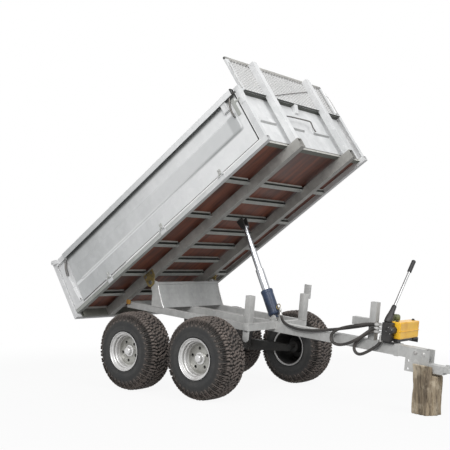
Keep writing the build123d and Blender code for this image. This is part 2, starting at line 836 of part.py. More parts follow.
def foot_bracket():
    """Two cheeks on the drawbar with the pin that the barrel's foot turns on."""
    inner = eye_width / 2 + cheek_gap
    outline = [(foot_x - 40, rail_top), (foot_x + 40, rail_top), (foot_x + cheek_radius, foot_z),
               (foot_x - cheek_radius, foot_z)]
    bracket = slab(foot_x - 40, foot_x + 40, -inner - 1, inner + 1, rail_top, rail_top + 5)
    for y in (-inner - cheek_thick, inner):
        bracket += plate_xz(outline, y, y + cheek_thick)
        bracket += rod_y(cheek_radius, foot_x, foot_z, y, y + cheek_thick)
    bracket += rod_y(foot_pin_radius, foot_x, foot_z, -inner - cheek_thick - 5, inner + cheek_thick + 5)
    return bracket


def top_bracket():
    """Two cheeks under the bed with short pin stubs. The eye between them is where the linkage is opened."""
    inner = eye_width / 2 + cheek_gap
    outline = [(top_x - cheek_half_width, cross_bottom), (top_x + cheek_half_width, cross_bottom),
               (top_x + 20, top_z - 16), (top_x + 8, top_z - 22), (top_x - 8, top_z - 22), (top_x - 20, top_z - 16)]
    cheek = plate_xz(outline, -inner - cheek_thick, -inner)
    cheek += rod_y(eye_bore - 0.5, top_x, top_z, -inner - cheek_thick - 6, -inner)
    return both_sides(cheek)


# Pump, at its place on the drawbar

base_top = rail_top + base_thick
tank_bottom = base_top + foot_height
tank_left = tank_right + tank_length
lever_place = Pos(lever_x, lever_y, lever_z) * Rot(-lever_lean, 0, 0)


def pump_tank():
    tank = slab(pump_x, pump_x + tank_depth, tank_right, tank_left, tank_bottom, tank_bottom + tank_height)
    return fillet(tank.edges().filter_by(Axis.Y), tank_corner)


def pump_base():
    """The plate on the drawbar, with a foot that carries the overhanging tank."""
    plate = slab(base_rear, base_front, -base_half_width, base_half_width, rail_top, base_top)
    foot = slab(pump_x + tank_corner, pump_x + tank_depth - tank_corner, tank_right, tank_right + foot_length,
                base_top, tank_bottom)
    return plate + foot


def pump_head():
    """The block on the tank's end, with its flange, hose ports and the lever's neck."""
    right = tank_right - head_width
    head = slab(head_rear, head_front, right, tank_right, base_top, base_top + head_height)
    head += rod_y(flange_radius, flange_x, flange_z, right - flange_reach, tank_right)
    head += lever_place * rod_z(neck_radius, 0, 0, -neck_length, 0)
    for y, z in zip((pump_port_y[0], pump_port_y[1], pump_port_y[1], pump_port_y[1]), pump_port_z):
        head += rod_x(port_radius, y, z, pump_port_x, head_rear)
    drain = (drain_z + pump_port_z[3]) / 2
    head += rod_z(port_radius, drain_x, pump_port_y[1], drain_z, drain)
    return head + slab(drain_x - port_radius, head_rear, pump_port_y[1] - 8, pump_port_y[1] + 8, drain - 8, drain + 2)


def pump_valve():
    """The round valve housing behind the tank, on a short arm from the tank's rear face."""
    x = pump_x - valve_radius - 2
    tank_middle = tank_bottom + tank_height / 2
    body = rod_z(valve_radius, x, valve_y, valve_bottom, valve_top)
    return body + slab(x, pump_x, valve_y - 12, valve_y + 12, tank_middle - 25, tank_middle + 25)


def pump_strap():
    half = drawbar_half + strap_gauge
    strap = slab(strap_x, strap_x + strap_width, -half, half, drawbar_bottom - strap_gauge, rail_top + strap_gauge)
    return strap - slab(strap_x - 1, strap_x + strap_width + 1, -drawbar_half, drawbar_half, drawbar_bottom, rail_top)


def pump_lever():
    socket = rod_z(socket_radius, 0, 0, 0, socket_length)
    socket -= rod_x(7, 0, socket_length - 26, -30, 30)
    rod = rod_z(lever_radius, 0, 0, socket_length - 10, lever_length - grip_length)
    return lever_place * (socket + rod)


def pump_grip():
    return lever_place * rod_z(grip_radius, 0, 0, lever_length - grip_length, lever_length)


# Hoses

def hose(name, points):
    """Straight runs joined by arcs, each as large as the two runs beside it allow."""
    points = [Vector(*point) for point in points]
    bends = []
    for before, here, after in zip(points, points[1:], points[2:]):
        run_in = here - before
        run_out = after - here
        half_turn = radians(run_in.get_angle(run_out)) / 2
        bends.append(0.45 * min(run_in.length, run_out.length) / tan(half_turn))
    path = FilletPolyline(*points, radius=bends)
    section = Plane(origin=path @ 0, z_dir=path % 0) * Circle(hose_radius)
    body = sweep(section, path=path)
    print(name, "hose", round(path.length), "mm, radii", [round(bend) for bend in bends],
          "volume over length", round(body.volume / path.length / hose_radius ** 2 / pi, 4))
    return body


def feed_start():
    """The first two points, straight out of the barrel's elbow."""
    out = Vector(sin(radians(cylinder_angle)), 0, -cos(radians(cylinder_angle)))
    elbow_end = elbow_top - elbow_drop
    tip_x = foot_x + elbow_x * cos(radians(cylinder_angle)) - elbow_end * sin(radians(cylinder_angle))
    tip_z = foot_z + elbow_x * sin(radians(cylinder_angle)) + elbow_end * cos(radians(cylinder_angle))
    start = Vector(tip_x, 0, tip_z) + out * hose_gap
    return [tuple(start), tuple(start + out * first_run)]


def build():
    add("chassis_rails", lean, *chassis_rails())
    add("chassis_crossbeams", lean, *crossbeams())
    add("drawbar", lean, drawbar())
    add("tower_sides", lean, *both_sides(tower_side()))
    add("tower_sheets", lean, *tower_sheets())
    add("pivot_pins", lean, *pivot_pins())
    add("support_posts", lean, *both_sides(support_post()))
    add("post_lugs", lean, *both_sides(post_lug()), guide_fin())
    add("arm_post", lean, *arm_post())
    add("hitch_plates", lean, *both_sides(hitch_plate()))
    add("coupling", lean, *coupling())
    add("support_log", Pos(0, 0, 0), support_log())
    add_bogie()
    add_wheels()
    add("bed_longitudinals", tip, *longitudinals())
    add("bed_side_rails", tip, *side_rails())
    add("bed_cross_members", tip, *cross_members())
    add("bed_end_beams", tip, *bed_end_beams())
    add("bed_floor", tip, bed_floor())
    add("headboard", tip, headboard())
    add("corner_posts", tip, *corner_posts())
    add("uprights", tip, *uprights())
    add("mesh_guard", tip, mesh_guard())
    add("pivot_plates", tip, *both_sides(pivot_plate()))
    add("hinge_brackets", tip, *side_brackets())
    add("top_bracket", tip, *top_bracket())
    panel = side_panel()
    fittings = side_fittings()
    add("side_right", tip, panel)
    add("side_left", tip, mirror(panel, about=Plane.XZ))
    add("side_fittings_right", tip, *fittings)
    add("side_fittings_left", tip, *[mirror(piece, about=Plane.XZ) for piece in fittings])
    add("tailgate", tip, tailgate())
    add("cylinder_foot", lean, foot_bracket())
    add("cylinder_barrel", cylinder, barrel())
    for k in range(len(stage_radii)):
        add(f"cylinder_stage_{k + 1}", cylinder, stage(k))
    add("pump_tank", lean, pump_tank())
    add("pump_head", lean, pump_head())
    add("pump_base", lean, pump_base())
    add("pump_valve", lean, pump_valve())
    add("pump_strap", lean, pump_strap())
    add("pump_lever", lean, pump_lever())
    add("pump_grip", lean, pump_grip())
    add("hose_feed", lean, hose("feed", feed_start() + feed_route))
    add("hose_return", lean, hose("return", return_route))
    add("hose_link", lean, hose("link", link_route))


build()
boxes = [shape.bounding_box() for shape in parts.values()]
rearmost = min(box.min.X for box in boxes)
foremost = max(box.max.X for box in boxes)
middle_x = (rearmost + foremost) / 2
os.makedirs("parts", exist_ok=True)
for name, shape in parts.items():
    export_step(Pos(-middle_x, 0, 0) * shape, f"parts/{name}.step")
print("origin at", round(middle_x, 4), "from", round(rearmost, 2), "to", round(foremost, 2))
print(len(parts), "nodes, cylinder", round(cylinder_length, 1), "mm at", round(cylinder_angle, 2), "degrees")
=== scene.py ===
import bpy
import bmesh
import json
import random
from math import atan2, cos, pi, radians, sin, sqrt
from mathutils import Matrix, Vector
from mathutils import noise as mesh_noise


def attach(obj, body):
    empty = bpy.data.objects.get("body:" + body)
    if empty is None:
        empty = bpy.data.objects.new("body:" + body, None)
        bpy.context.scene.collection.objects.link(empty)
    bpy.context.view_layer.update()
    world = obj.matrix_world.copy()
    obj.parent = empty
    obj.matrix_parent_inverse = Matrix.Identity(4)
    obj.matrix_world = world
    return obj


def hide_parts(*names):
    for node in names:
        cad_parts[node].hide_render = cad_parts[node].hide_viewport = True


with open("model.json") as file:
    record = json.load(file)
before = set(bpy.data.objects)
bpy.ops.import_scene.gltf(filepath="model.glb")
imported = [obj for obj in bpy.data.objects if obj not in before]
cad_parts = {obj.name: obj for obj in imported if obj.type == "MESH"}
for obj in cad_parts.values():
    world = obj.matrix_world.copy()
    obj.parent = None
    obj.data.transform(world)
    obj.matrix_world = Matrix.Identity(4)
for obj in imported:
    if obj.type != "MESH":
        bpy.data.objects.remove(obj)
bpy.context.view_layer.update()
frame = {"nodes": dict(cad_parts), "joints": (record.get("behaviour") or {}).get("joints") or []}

# A galvanised tipping trailer with its bed raised. Metres, +X forward, +Y left, +Z up.

NODES = frame["nodes"]
JOINTS = {joint["name"]: joint for joint in frame["joints"]}
SIDES = (("right", -1), ("left", 1))
random.seed(12)

# Places read from the frame

NOSE_DOWN = radians(5.4)
wheel_x = {end: JOINTS[f"spin_{end}_right"]["pos_m"][0] for end in ("front", "rear")}
wheel_y = JOINTS["spin_front_left"]["pos_m"][1]
wheel_z = JOINTS["spin_front_left"]["pos_m"][2]
BOGIE_X = (wheel_x["front"] + wheel_x["rear"]) / 2
pivot = Vector(JOINTS["bed_tip"]["pos_m"])
bed_along = Vector(JOINTS["side_drop_right"]["axis"])
BED_LEAN = atan2(bed_along.z, bed_along.x)
BED = Matrix.Translation(pivot) @ Matrix.Rotation(-BED_LEAN, 4, "Y")
CHASSIS = Matrix.Translation((BOGIE_X, 0, wheel_z)) @ Matrix.Rotation(NOSE_DOWN, 4, "Y")


# Shader maths

class Mat:
    """A material and the nodes in it."""

    def __init__(self, name, metallic=0.0, roughness=0.5, coat=0.0, on_bed=False):
        self.material = bpy.data.materials.new(name)
        self.material.use_nodes = True
        self.tree = self.material.node_tree
        self.shader = self.tree.nodes["Principled BSDF"]
        self.shader.inputs["Metallic"].default_value = metallic
        self.shader.inputs["Roughness"].default_value = roughness
        self.shader.inputs["Coat Weight"].default_value = coat
        self.place = self.node("ShaderNodeTexCoord").outputs["Object"]
        if on_bed:
            shift = -(Matrix.Rotation(BED_LEAN, 3, "Y") @ pivot)
            self.place = self.scaled(1.0, turn=(0, BED_LEAN, 0), shift=tuple(shift))

    def node(self, kind, settings=None, inputs=None):
        made = self.tree.nodes.new(kind)
        for key, value in (settings or {}).items():
            setattr(made, key, value)
        for key, value in (inputs or {}).items():
            self.feed(made.inputs[key], value)
        return made

    def feed(self, socket, value):
        if isinstance(value, Val):
            value = value.socket
        if isinstance(value, bpy.types.NodeSocket):
            self.tree.links.new(value, socket)
        elif isinstance(value, (tuple, list)) and len(value) == 3 and socket.type == "RGBA":
            socket.default_value = (*value, 1)
        else:
            socket.default_value = value

    def scaled(self, scale, turn=(0, 0, 0), shift=(0, 0, 0)):
        """Object coordinates, stretched and turned."""
        size = scale if isinstance(scale, tuple) else (scale, scale, scale)
        mapping = self.node("ShaderNodeMapping", None,
                            {"Vector": self.place, "Scale": size, "Rotation": turn, "Location": shift})
        return mapping.outputs["Vector"]

    def noise(self, scale, detail=4.0, rough=0.5, stretch=(1, 1, 1), distortion=0.0):
        made = self.node("ShaderNodeTexNoise", None, {
            "Vector": self.scaled(stretch), "Scale": scale, "Detail": detail,
            "Roughness": rough, "Distortion": distortion})
        return Val(self, made.outputs["Fac"])

    def cells(self, scale):
        """Cells like zinc's crystals, each with a colour of its own."""
        made = self.node("ShaderNodeTexVoronoi", {"feature": "F1"},
                         {"Vector": self.scaled((1, 1, 1)), "Scale": scale})
        return made.outputs["Color"]

    def along(self, axis):
        """The distance along X, Y or Z, in metres."""
        split = self.node("ShaderNodeSeparateXYZ", None, {"Vector": self.place})
        return Val(self, split.outputs[axis])

    def stored(self, name):
        """A number kept on the mesh's points."""
        made = self.node("ShaderNodeAttribute", {"attribute_name": name})
        return Val(self, made.outputs["Fac"])

    def mix(self, factor, a, b):
        made = self.node("ShaderNodeMix", {"data_type": "RGBA"}, {0: factor, 6: a, 7: b})
        return made.outputs[2]

    def colour(self, value):
        self.feed(self.shader.inputs["Base Color"], value)

    def rough(self, value):
        self.feed(self.shader.inputs["Roughness"], value)

    def bump(self, value, distance, strength=1.0):
        made = self.node("ShaderNodeBump", None,
                         {"Height": value, "Distance": distance, "Strength": strength})
        self.feed(self.shader.inputs["Normal"], made.outputs["Normal"])


class Val:
    """A number that varies over a surface, with the usual operators."""

    def __init__(self, owner, socket):
        self.owner = owner
        self.socket = socket

    def maths(self, operation, other=None, swap=False):
        values = [self, other] if other is not None else [self]
        if swap:
            values.reverse()
        made = self.owner.node("ShaderNodeMath", {"operation": operation}, dict(enumerate(values)))
        return Val(self.owner, made.outputs[0])

    def __add__(self, other):
        return self.maths("ADD", other)

    def __sub__(self, other):
        return self.maths("SUBTRACT", other)

    def __rsub__(self, other):
        return self.maths("SUBTRACT", other, swap=True)

    def __mul__(self, other):
        return self.maths("MULTIPLY", other)

    __radd__ = __add__
    __rmul__ = __mul__

    def step(self, low, high):
        """0 below low and 1 above high, smooth between."""
        made = self.owner.node("ShaderNodeMapRange", {"interpolation_type": "SMOOTHSTEP"},
                               {"Value": self, "From Min": low, "From Max": high})
        return Val(self.owner, made.outputs["Result"])

    def between(self, rise, full, fade, gone):
        """1 from full to fade, and 0 below rise and above gone."""
        return self.step(rise, full) * (1 - self.step(fade, gone))


# Finishes

def zinc_tone(m, spangle, contrast):
    """Crystals a few centimetres wide, cloudy patches, runs from top to bottom, and fine grain."""
    grain = Val(m, m.node("ShaderNodeRGBToBW", None, {"Color": m.cells(spangle)}).outputs[0])
    clouds = m.noise(2.4, 5, 0.6)
    fine = m.noise(60, 4, 0.6)
    runs = m.noise(9, 4, 0.55, stretch=(1.0, 1.0, 0.16))
    tone = (grain - 0.5) * contrast + clouds * 0.55 + runs * 0.34 + fine * 0.12
    m.rough(0.46 + clouds * 0.18 + grain * 0.10)
    m.bump(fine * 0.3 + grain * 0.35 + clouds, 0.0006, 0.5)
    return tone


def galvanised_metal(name, base, dull, spangle=26.0, contrast=0.12, on_bed=True):
    """Hot-dip zinc."""
    m = Mat(name, metallic=0.12, roughness=0.5, on_bed=on_bed)
    tone = zinc_tone(m, spangle, contrast)
    m.colour(m.mix(tone.step(0.28, 0.78), dull, base))
    return m.material


def end_beam_zinc(name):
    """Greenish zinc darkened by painted shade under the bed, and pale zinc on the folded front edge."""
    m = Mat(name, metallic=0.12, roughness=0.55, on_bed=True)
    tone = zinc_tone(m, 40.0, 0.12).step(0.28, 0.78)
    # painted shade: the beam's underside darker than its folded edge
    under = m.mix(tone, (0.085, 0.088, 0.075), (0.17, 0.175, 0.15))
    edge = m.mix(tone, (0.42, 0.42, 0.39), (0.60, 0.59, 0.56))
    m.colour(m.mix(m.along("Z").step(0.1134, 0.1150), under, edge))
    return m.material


def side_rail_zinc(name):
    """The bed's outer rails: dull, paler to the front, with a painted highlight along the turned-over top edge and a
    painted shade line just under it, both strongest at the rear.
    """
    m = Mat(name, metallic=0.12, roughness=0.5, on_bed=True)
    tone = zinc_tone(m, 30.0, 0.10).step(0.28, 0.78)
    front = m.along("X").step(-0.4, 1.7)
    z = m.along("Z")
    dull = m.mix(tone, (0.26, 0.27, 0.25), (0.40, 0.41, 0.385))
    pale = m.mix(tone, (0.60, 0.61, 0.61), (0.76, 0.76, 0.76))
    body = m.mix(front, dull, pale)
    # painted highlight along the top edge, fading to the front
    edge_highlight = z.step(0.1210, 0.1225) * (1 - front * 0.6)
    body = m.mix(edge_highlight * 0.8, body, (0.72, 0.72, 0.71))
    # painted shade: a dark line just under the highlight, gone at the front
    seam = z.between(0.1165, 0.1180, 0.1205, 0.1215) * (1 - front)
    m.colour(m.mix(seam * 0.75, body, (0.10, 0.10, 0.095)))
    return m.material


def drop_side_zinc(name):
    """The drop sides: whiter to the front, with painted shade on the pressed swage, along its lower edge and at its
    front end, painted shadow under the lip and in the gaps, and painted light on the swage's edge at the rear.
    """
    m = Mat(name, metallic=0.12, roughness=0.5, on_bed=True)
    tone = zinc_tone(m, 24.0, 0.12).step(0.28, 0.78)
    x = m.along("X")
    z = m.along("Z")
    y = m.along("Y")
    out = y * y
    rear = m.mix(tone, (0.44, 0.45, 0.45), (0.60, 0.61, 0.61))
    front = m.mix(tone, (0.70, 0.71, 0.71), (0.82, 0.82, 0.82))
    body = m.mix(x.step(-0.5, 1.5), rear, front)
    # painted shade on the pressed swage
    swage_shade = z.between(0.305, 0.318, 0.425, 0.462) * x.between(0.1, 1.5, 1.66, 1.71)
    body = m.mix(swage_shade * 0.62, body, (0.50, 0.51, 0.51))
    # painted shadow along the swage's lower edge, towards the front
    edge = z.between(0.288, 0.305, 0.306, 0.332) * x.between(0.7, 1.6, 1.68, 1.715)
    body = m.mix(edge * 0.72, body, (0.27, 0.28, 0.28))
    # painted light: paler along the swage's lower edge at the rear, where the pressing shades it
    rear_swage_light = z.between(0.290, 0.300, 0.312, 0.330) * (1 - x.step(0.0, 1.2))
    body = m.mix(rear_swage_light * 0.8, body, (0.86, 0.87, 0.87))
    # painted shadow on the face just under the top lip
    lip_shadow = z.between(0.538, 0.570, 0.6125, 0.6180) * out.between(0.5295, 0.5315, 0.562, 0.572)
    body = m.mix(lip_shadow * 0.8, body, (0.085, 0.090, 0.085))
    # painted shade at the swage's rounded front end
    fold = x.between(1.600, 1.625, 1.700, 1.722) * z.between(0.296, 0.306, 0.452, 0.464)
    body = m.mix(fold * 0.75, body, (0.40, 0.41, 0.41))
    # painted shadow in the gaps along the bottom edge and at the front post, broken up by noise
    gap = m.noise(30, 4, 0.6)
    gap_shadow = ((1 - z.step(0.141, 0.150)) + x.step(1.7705, 1.7745)).step(0.2, 0.9) * (0.75 + gap * 0.3)
    m.colour(m.mix(gap_shadow.step(0.1, 0.9), body, (0.045, 0.046, 0.045)))
    return m.material


def plywood_face(name):
    """Red-brown film-faced plywood with long streaks, patches and scuffs."""
    m = Mat(name, roughness=0.55, on_bed=True)
    streaks = m.noise(3.0, 7, 0.62, stretch=(0.45, 5.0, 5.0))
    patches = m.noise(3.2, 4, 0.5)
    scuffs = m.noise(24, 6, 0.7, stretch=(0.35, 3.0, 1.0))
    dark = (0.060, 0.021, 0.014)
    warm = (0.245, 0.080, 0.045)
    pale = (0.40, 0.20, 0.12)
    tone = (streaks * 0.65 + patches * 0.5).step(0.40, 0.76)
    body = m.mix(tone, dark, warm)
    m.colour(m.mix(scuffs.step(0.58, 0.84) * 0.5, body, pale))
    m.rough(0.42 + patches * 0.3)
    m.bump(streaks + scuffs * 0.4, 0.0008, 0.5)
    return m.material


def tyre_rubber(name):
    """Rubber that is black in the grooves, brown with dust on the lugs, and grey on the sidewall."""
    m = Mat(name, roughness=0.85)
    radius = m.stored("axle_radius")
    lug = m.stored("lug_height")
    dust = m.noise(9.0, 6, 0.65)
    fine = m.noise(110, 4, 0.6)
    wall = m.mix((dust * 0.9 + fine * 0.25).step(0.38, 0.85), (0.024, 0.025, 0.026), (0.062, 0.060, 0.057))
    groove = m.mix(radius.step(0.262, 0.300), (0.040, 0.036, 0.033), (0.012, 0.011, 0.010))
    top = m.mix((dust * 0.8 + fine * 0.4).step(0.36, 0.80), (0.056, 0.048, 0.043), (0.165, 0.136, 0.120))
    tread = m.mix(lug, groove, top)
    ring = radius.between(0.205, 0.222, 0.236, 0.252)
    body = m.mix(radius.step(0.236, 0.262), m.mix(ring * 0.5, wall, (0.012, 0.012, 0.012)), tread)
    near_rim = 1 - radius.step(0.164, 0.184)
    m.colour(m.mix(near_rim * 0.8, body, (0.016, 0.016, 0.016)))
    m.rough(0.66 + dust * 0.22)
    m.bump(fine + dust, 0.0010, 0.6)
    return m.material


def rim_paint(name):
    """Silver paint: pale on the lip and steps, duller with grime, and darker on the recessed disc as painted shade."""
    m = Mat(name, metallic=0.55, roughness=0.34, coat=0.1)
    radius = m.stored("axle_radius")
    grime = m.noise(9, 4, 0.5)
    fine = m.noise(80, 4, 0.7)
    steps = m.mix(grime.step(0.35, 0.75), (0.66, 0.655, 0.65), (0.47, 0.46, 0.45))
    # painted shade: the recessed disc darker than the steps
    disc = m.mix(grime.step(0.35, 0.70), (0.42, 0.42, 0.39), (0.24, 0.235, 0.215))
    m.colour(m.mix(radius.step(0.119, 0.127), disc, steps))
    m.rough(0.26 + grime * 0.25)
    m.bump(fine, 0.0003, 0.4)
    return m.material


def painted(name, base, shade, roughness=0.35, metallic=0.0, coat=0.4, scale=8.0):
    """Paint, plating or bare steel that wears to a second shade in patches."""
    m = Mat(name, metallic=metallic, roughness=roughness, coat=coat)
    wear = m.noise(scale, 5, 0.6)
    fine = m.noise(120, 4, 0.6)
    m.colour(m.mix((wear * 0.9 + fine * 0.2).step(0.42, 0.75), base, shade))
    m.rough(roughness + (wear - 0.5) * 0.25)
    m.bump(fine, 0.0002, 0.35)
    return m.material


def chrome_plate(name):
    """Bright plate with a thin dull film that runs down it."""
    m = Mat(name, metallic=0.9, roughness=0.22)
    film = m.noise(14, 4, 0.6, stretch=(1, 1, 0.3))
    m.colour(m.mix(film.step(0.3, 0.8), (0.46, 0.47, 0.49), (0.34, 0.35, 0.37)))
    m.rough(0.16 + film * 0.12)
    return m.material


def weathered_log(name):
    """Grey-brown wood with long vertical cracks and paler patches."""
    m = Mat(name, roughness=0.9)
    fibres = m.noise(22, 8, 0.7, stretch=(1.0, 1.0, 0.09), distortion=0.3)
    patches = m.noise(9, 5, 0.6)
    dark = (0.105, 0.080, 0.055)
    mid = (0.36, 0.29, 0.20)
    pale = (0.56, 0.48, 0.36)
    body = m.mix(fibres.step(0.36, 0.62), dark, mid)
    m.colour(m.mix(patches.step(0.45, 0.70), body, pale))
    m.bump(fibres + patches * 0.5, 0.006, 0.9)
    return m.material


GALVANISED = galvanised_metal("galvanised", (0.78, 0.78, 0.78), (0.56, 0.57, 0.57))
PANEL = drop_side_zinc("galvanised_side")
# darker zinc for the underframe, and painted shade on the guard's top bar
UNDERFRAME_AND_SHADE = galvanised_metal("galvanised_underframe", (0.46, 0.45, 0.425), (0.25, 0.245, 0.23), 40.0)
CHANNEL = galvanised_metal("galvanised_channel", (0.52, 0.53, 0.50), (0.33, 0.34, 0.32), 40.0)
# near-black zinc, as painted shade inside the channels and under the headboard's lip
PAINTED_SHADE = galvanised_metal("channel_recess", (0.085, 0.090, 0.078), (0.045, 0.048, 0.042), 40.0)
END_BEAM = end_beam_zinc("galvanised_end_beam")
SIDE_RAIL = side_rail_zinc("galvanised_side_rail")
# darker zinc for the tower, and painted shade under the headboard's creases
TOWER_AND_SHADE = galvanised_metal("galvanised_tower", (0.43, 0.435, 0.43), (0.27, 0.275, 0.27), 36.0, on_bed=False)
GALVANISED_FRAME = galvanised_metal("galvanised_frame", (0.60, 0.60, 0.585), (0.38, 0.38, 0.37), 36.0,
                                    on_bed=False)
GUARD_WIRE = galvanised_metal("galvanised_wire", (0.62, 0.62, 0.61), (0.42, 0.42, 0.41), 40.0)
PLYWOOD = plywood_face("plywood")
RUBBER = tyre_rubber("tyre_rubber")
BRIGHT_ZINC = painted("bright_zinc", (0.95, 0.95, 0.95), (0.84, 0.85, 0.85), 0.4, coat=0.0)
RIM = rim_paint("rim_silver")
BLUE = painted("barrel_blue", (0.016, 0.036, 0.086), (0.006, 0.012, 0.030), 0.48, coat=0.08)
YELLOW = painted("pump_yellow", (0.88, 0.50, 0.018), (0.72, 0.34, 0.012), 0.34, coat=0.15)
BLACK = painted("pump_black", (0.012, 0.012, 0.013), (0.035, 0.032, 0.030), 0.5, coat=0.0)
# near-black, for black paint and painted shade: the bogie, the top bracket, the drums and the rims' insides
BLACK_AND_SHADE = painted("underside_grime", (0.012, 0.012, 0.012), (0.036, 0.034, 0.031), 0.7, coat=0.0)
ZINC = painted("yellow_zinc", (0.33, 0.25, 0.09), (0.12, 0.095, 0.045), 0.45, metallic=0.4, coat=0.0,
               scale=30.0)
ORANGE = painted("orange_stop", (0.62, 0.33, 0.05), (0.40, 0.20, 0.04), 0.5, coat=0.0)
CHROME = chrome_plate("chrome")
LOG = weathered_log("log_wood")
STEEL = painted("bolt_zinc", (0.58, 0.58, 0.57), (0.36, 0.35, 0.34), 0.34, metallic=0.8, coat=0.0)
DARK_STEEL = painted("dark_steel", (0.10, 0.10, 0.10), (0.20, 0.18, 0.16), 0.45, metallic=0.6, coat=0.0)
LEVER_STEEL = painted("lever_steel", (0.36, 0.36, 0.36), (0.26, 0.26, 0.26), 0.24, metallic=0.9, coat=0.0)
HUB = painted("hub_white", (0.80, 0.80, 0.80), (0.55, 0.54, 0.52), 0.25, metallic=0.4)
OLIVE = painted("valve_olive", (0.16, 0.19, 0.06), (0.09, 0.10, 0.04), 0.4)
HOSE = painted("hose_black", (0.022, 0.021, 0.020), (0.070, 0.062, 0.056), 0.6, coat=0.0)


NODE_FINISH = {
    "bed_floor": PLYWOOD, "support_log": LOG, "cylinder_barrel": BLUE, "cylinder_stage_1": CHROME,
    "cylinder_stage_2": CHROME, "cylinder_stage_3": CHROME, "pump_tank": YELLOW, "pump_head": BLACK,
    "pump_lever": BLACK, "pump_grip": BLACK, "pump_base": BLACK, "pump_valve": OLIVE, "pivot_plates": ZINC,
    # the side fittings take the greyer channel zinc as painted shade
    "cylinder_foot": GALVANISED_FRAME, "side_fittings_right": CHANNEL, "side_fittings_left": CHANNEL,
    "top_bracket": BLACK_AND_SHADE, "bogie_tube": BLACK_AND_SHADE, "bogie_beam_left": BLACK_AND_SHADE,
    "bogie_beam_right": BLACK_AND_SHADE, "bogie_hangers": BLACK_AND_SHADE, "tower_sheets": TOWER_AND_SHADE, "bed_end_beams": END_BEAM,
    "bed_side_rails": SIDE_RAIL,
}
CHASSIS_NODES = ("chassis", "drawbar", "bogie", "tower", "arm_post", "hitch_plates", "coupling",
                 "support_posts", "post_lugs", "pivot_pins", "pump_strap", "cylinder")
UNDER_BED_NODES = ("bed_long", "bed_cross")


def finish_nodes():
    """Every solid from the frame gets its own finish."""
    for name, node in NODES.items():
        finish = NODE_FINISH.get(name)
        if name.startswith("tyre_"):
            finish = RUBBER
        elif name.startswith("rim_"):
            finish = RIM
        elif name in ("side_left", "side_right"):
            finish = PANEL
        elif finish is None and name.startswith(CHASSIS_NODES):
            finish = GALVANISED_FRAME
        elif finish is None and name.startswith(UNDER_BED_NODES):
            finish = UNDERFRAME_AND_SHADE
        elif finish is None:
            finish = GALVANISED
        node.data.materials.clear()
        node.data.materials.append(finish)


# Camera, floor and light

CAMERA_PLACE = (4.67977, -5.57878, 1.0916)
CAMERA_YAW = 2.21882
CAMERA_PITCH = 0.03014
CAMERA_ROLL = 0.01452
FOCAL_PIXELS = 825.394
PHOTO_PIXELS = 450
PRINCIPAL_PIXEL = (262, 237)
FLOOR_HALF = 9.0
FLOOR_GLOW = 0.92
FLOOR_BOUNCE = 0.27
FLOOR_FADE = (2.4, 4.6)
SKY_LIGHT = 0.50
# name, place, size, watts
LAMPS = (("key", (3.6, -8.0, 6.4), 4.0, 560), ("front", (8.0, -1.5, 6.5), 4.0, 350),
         ("back", (-6.0, 6.0, 6.0), 6.0, 150))


def make_camera():
    """The photograph's camera, from its place, turns and focal length in pixels."""
    data = bpy.data.cameras.new("photo_camera")
    camera = bpy.data.objects.new("photo_camera", data)
    bpy.context.scene.collection.objects.link(camera)
    data.sensor_width = 36
    data.lens = FOCAL_PIXELS / PHOTO_PIXELS * data.sensor_width
    data.shift_x = (PHOTO_PIXELS / 2 - PRINCIPAL_PIXEL[0]) / PHOTO_PIXELS
    data.shift_y = (PRINCIPAL_PIXEL[1] - PHOTO_PIXELS / 2) / PHOTO_PIXELS
    flat = cos(CAMERA_PITCH)
    forward = Vector((cos(CAMERA_YAW) * flat, sin(CAMERA_YAW) * flat, sin(CAMERA_PITCH)))
    level = Vector((sin(CAMERA_YAW), -cos(CAMERA_YAW), 0))
    over = level.cross(forward)
    right = level * cos(CAMERA_ROLL) + over * sin(CAMERA_ROLL)
    up = over * cos(CAMERA_ROLL) - level * sin(CAMERA_ROLL)
    turn = Matrix((right, up, -forward)).transposed().to_4x4()
    camera.matrix_world = Matrix.Translation(Vector(CAMERA_PLACE) + Vector((BOGIE_X, 0, 0))) @ turn
    data.clip_end = 200
    bpy.context.scene.camera = camera


def seen_directly(tree):
    """1 for rays that show the background itself: straight, mirrored or through glass."""
    path = tree.nodes.new("ShaderNodeLightPath")
    total = path.outputs["Is Camera Ray"]
    for kind in ("Is Glossy Ray", "Is Transmission Ray"):
        added = tree.nodes.new("ShaderNodeMath")
        added.operation = "ADD"
        added.use_clamp = True
        tree.links.new(total, added.inputs[0])
        tree.links.new(path.outputs[kind], added.inputs[1])
        total = added.outputs[0]
    return total


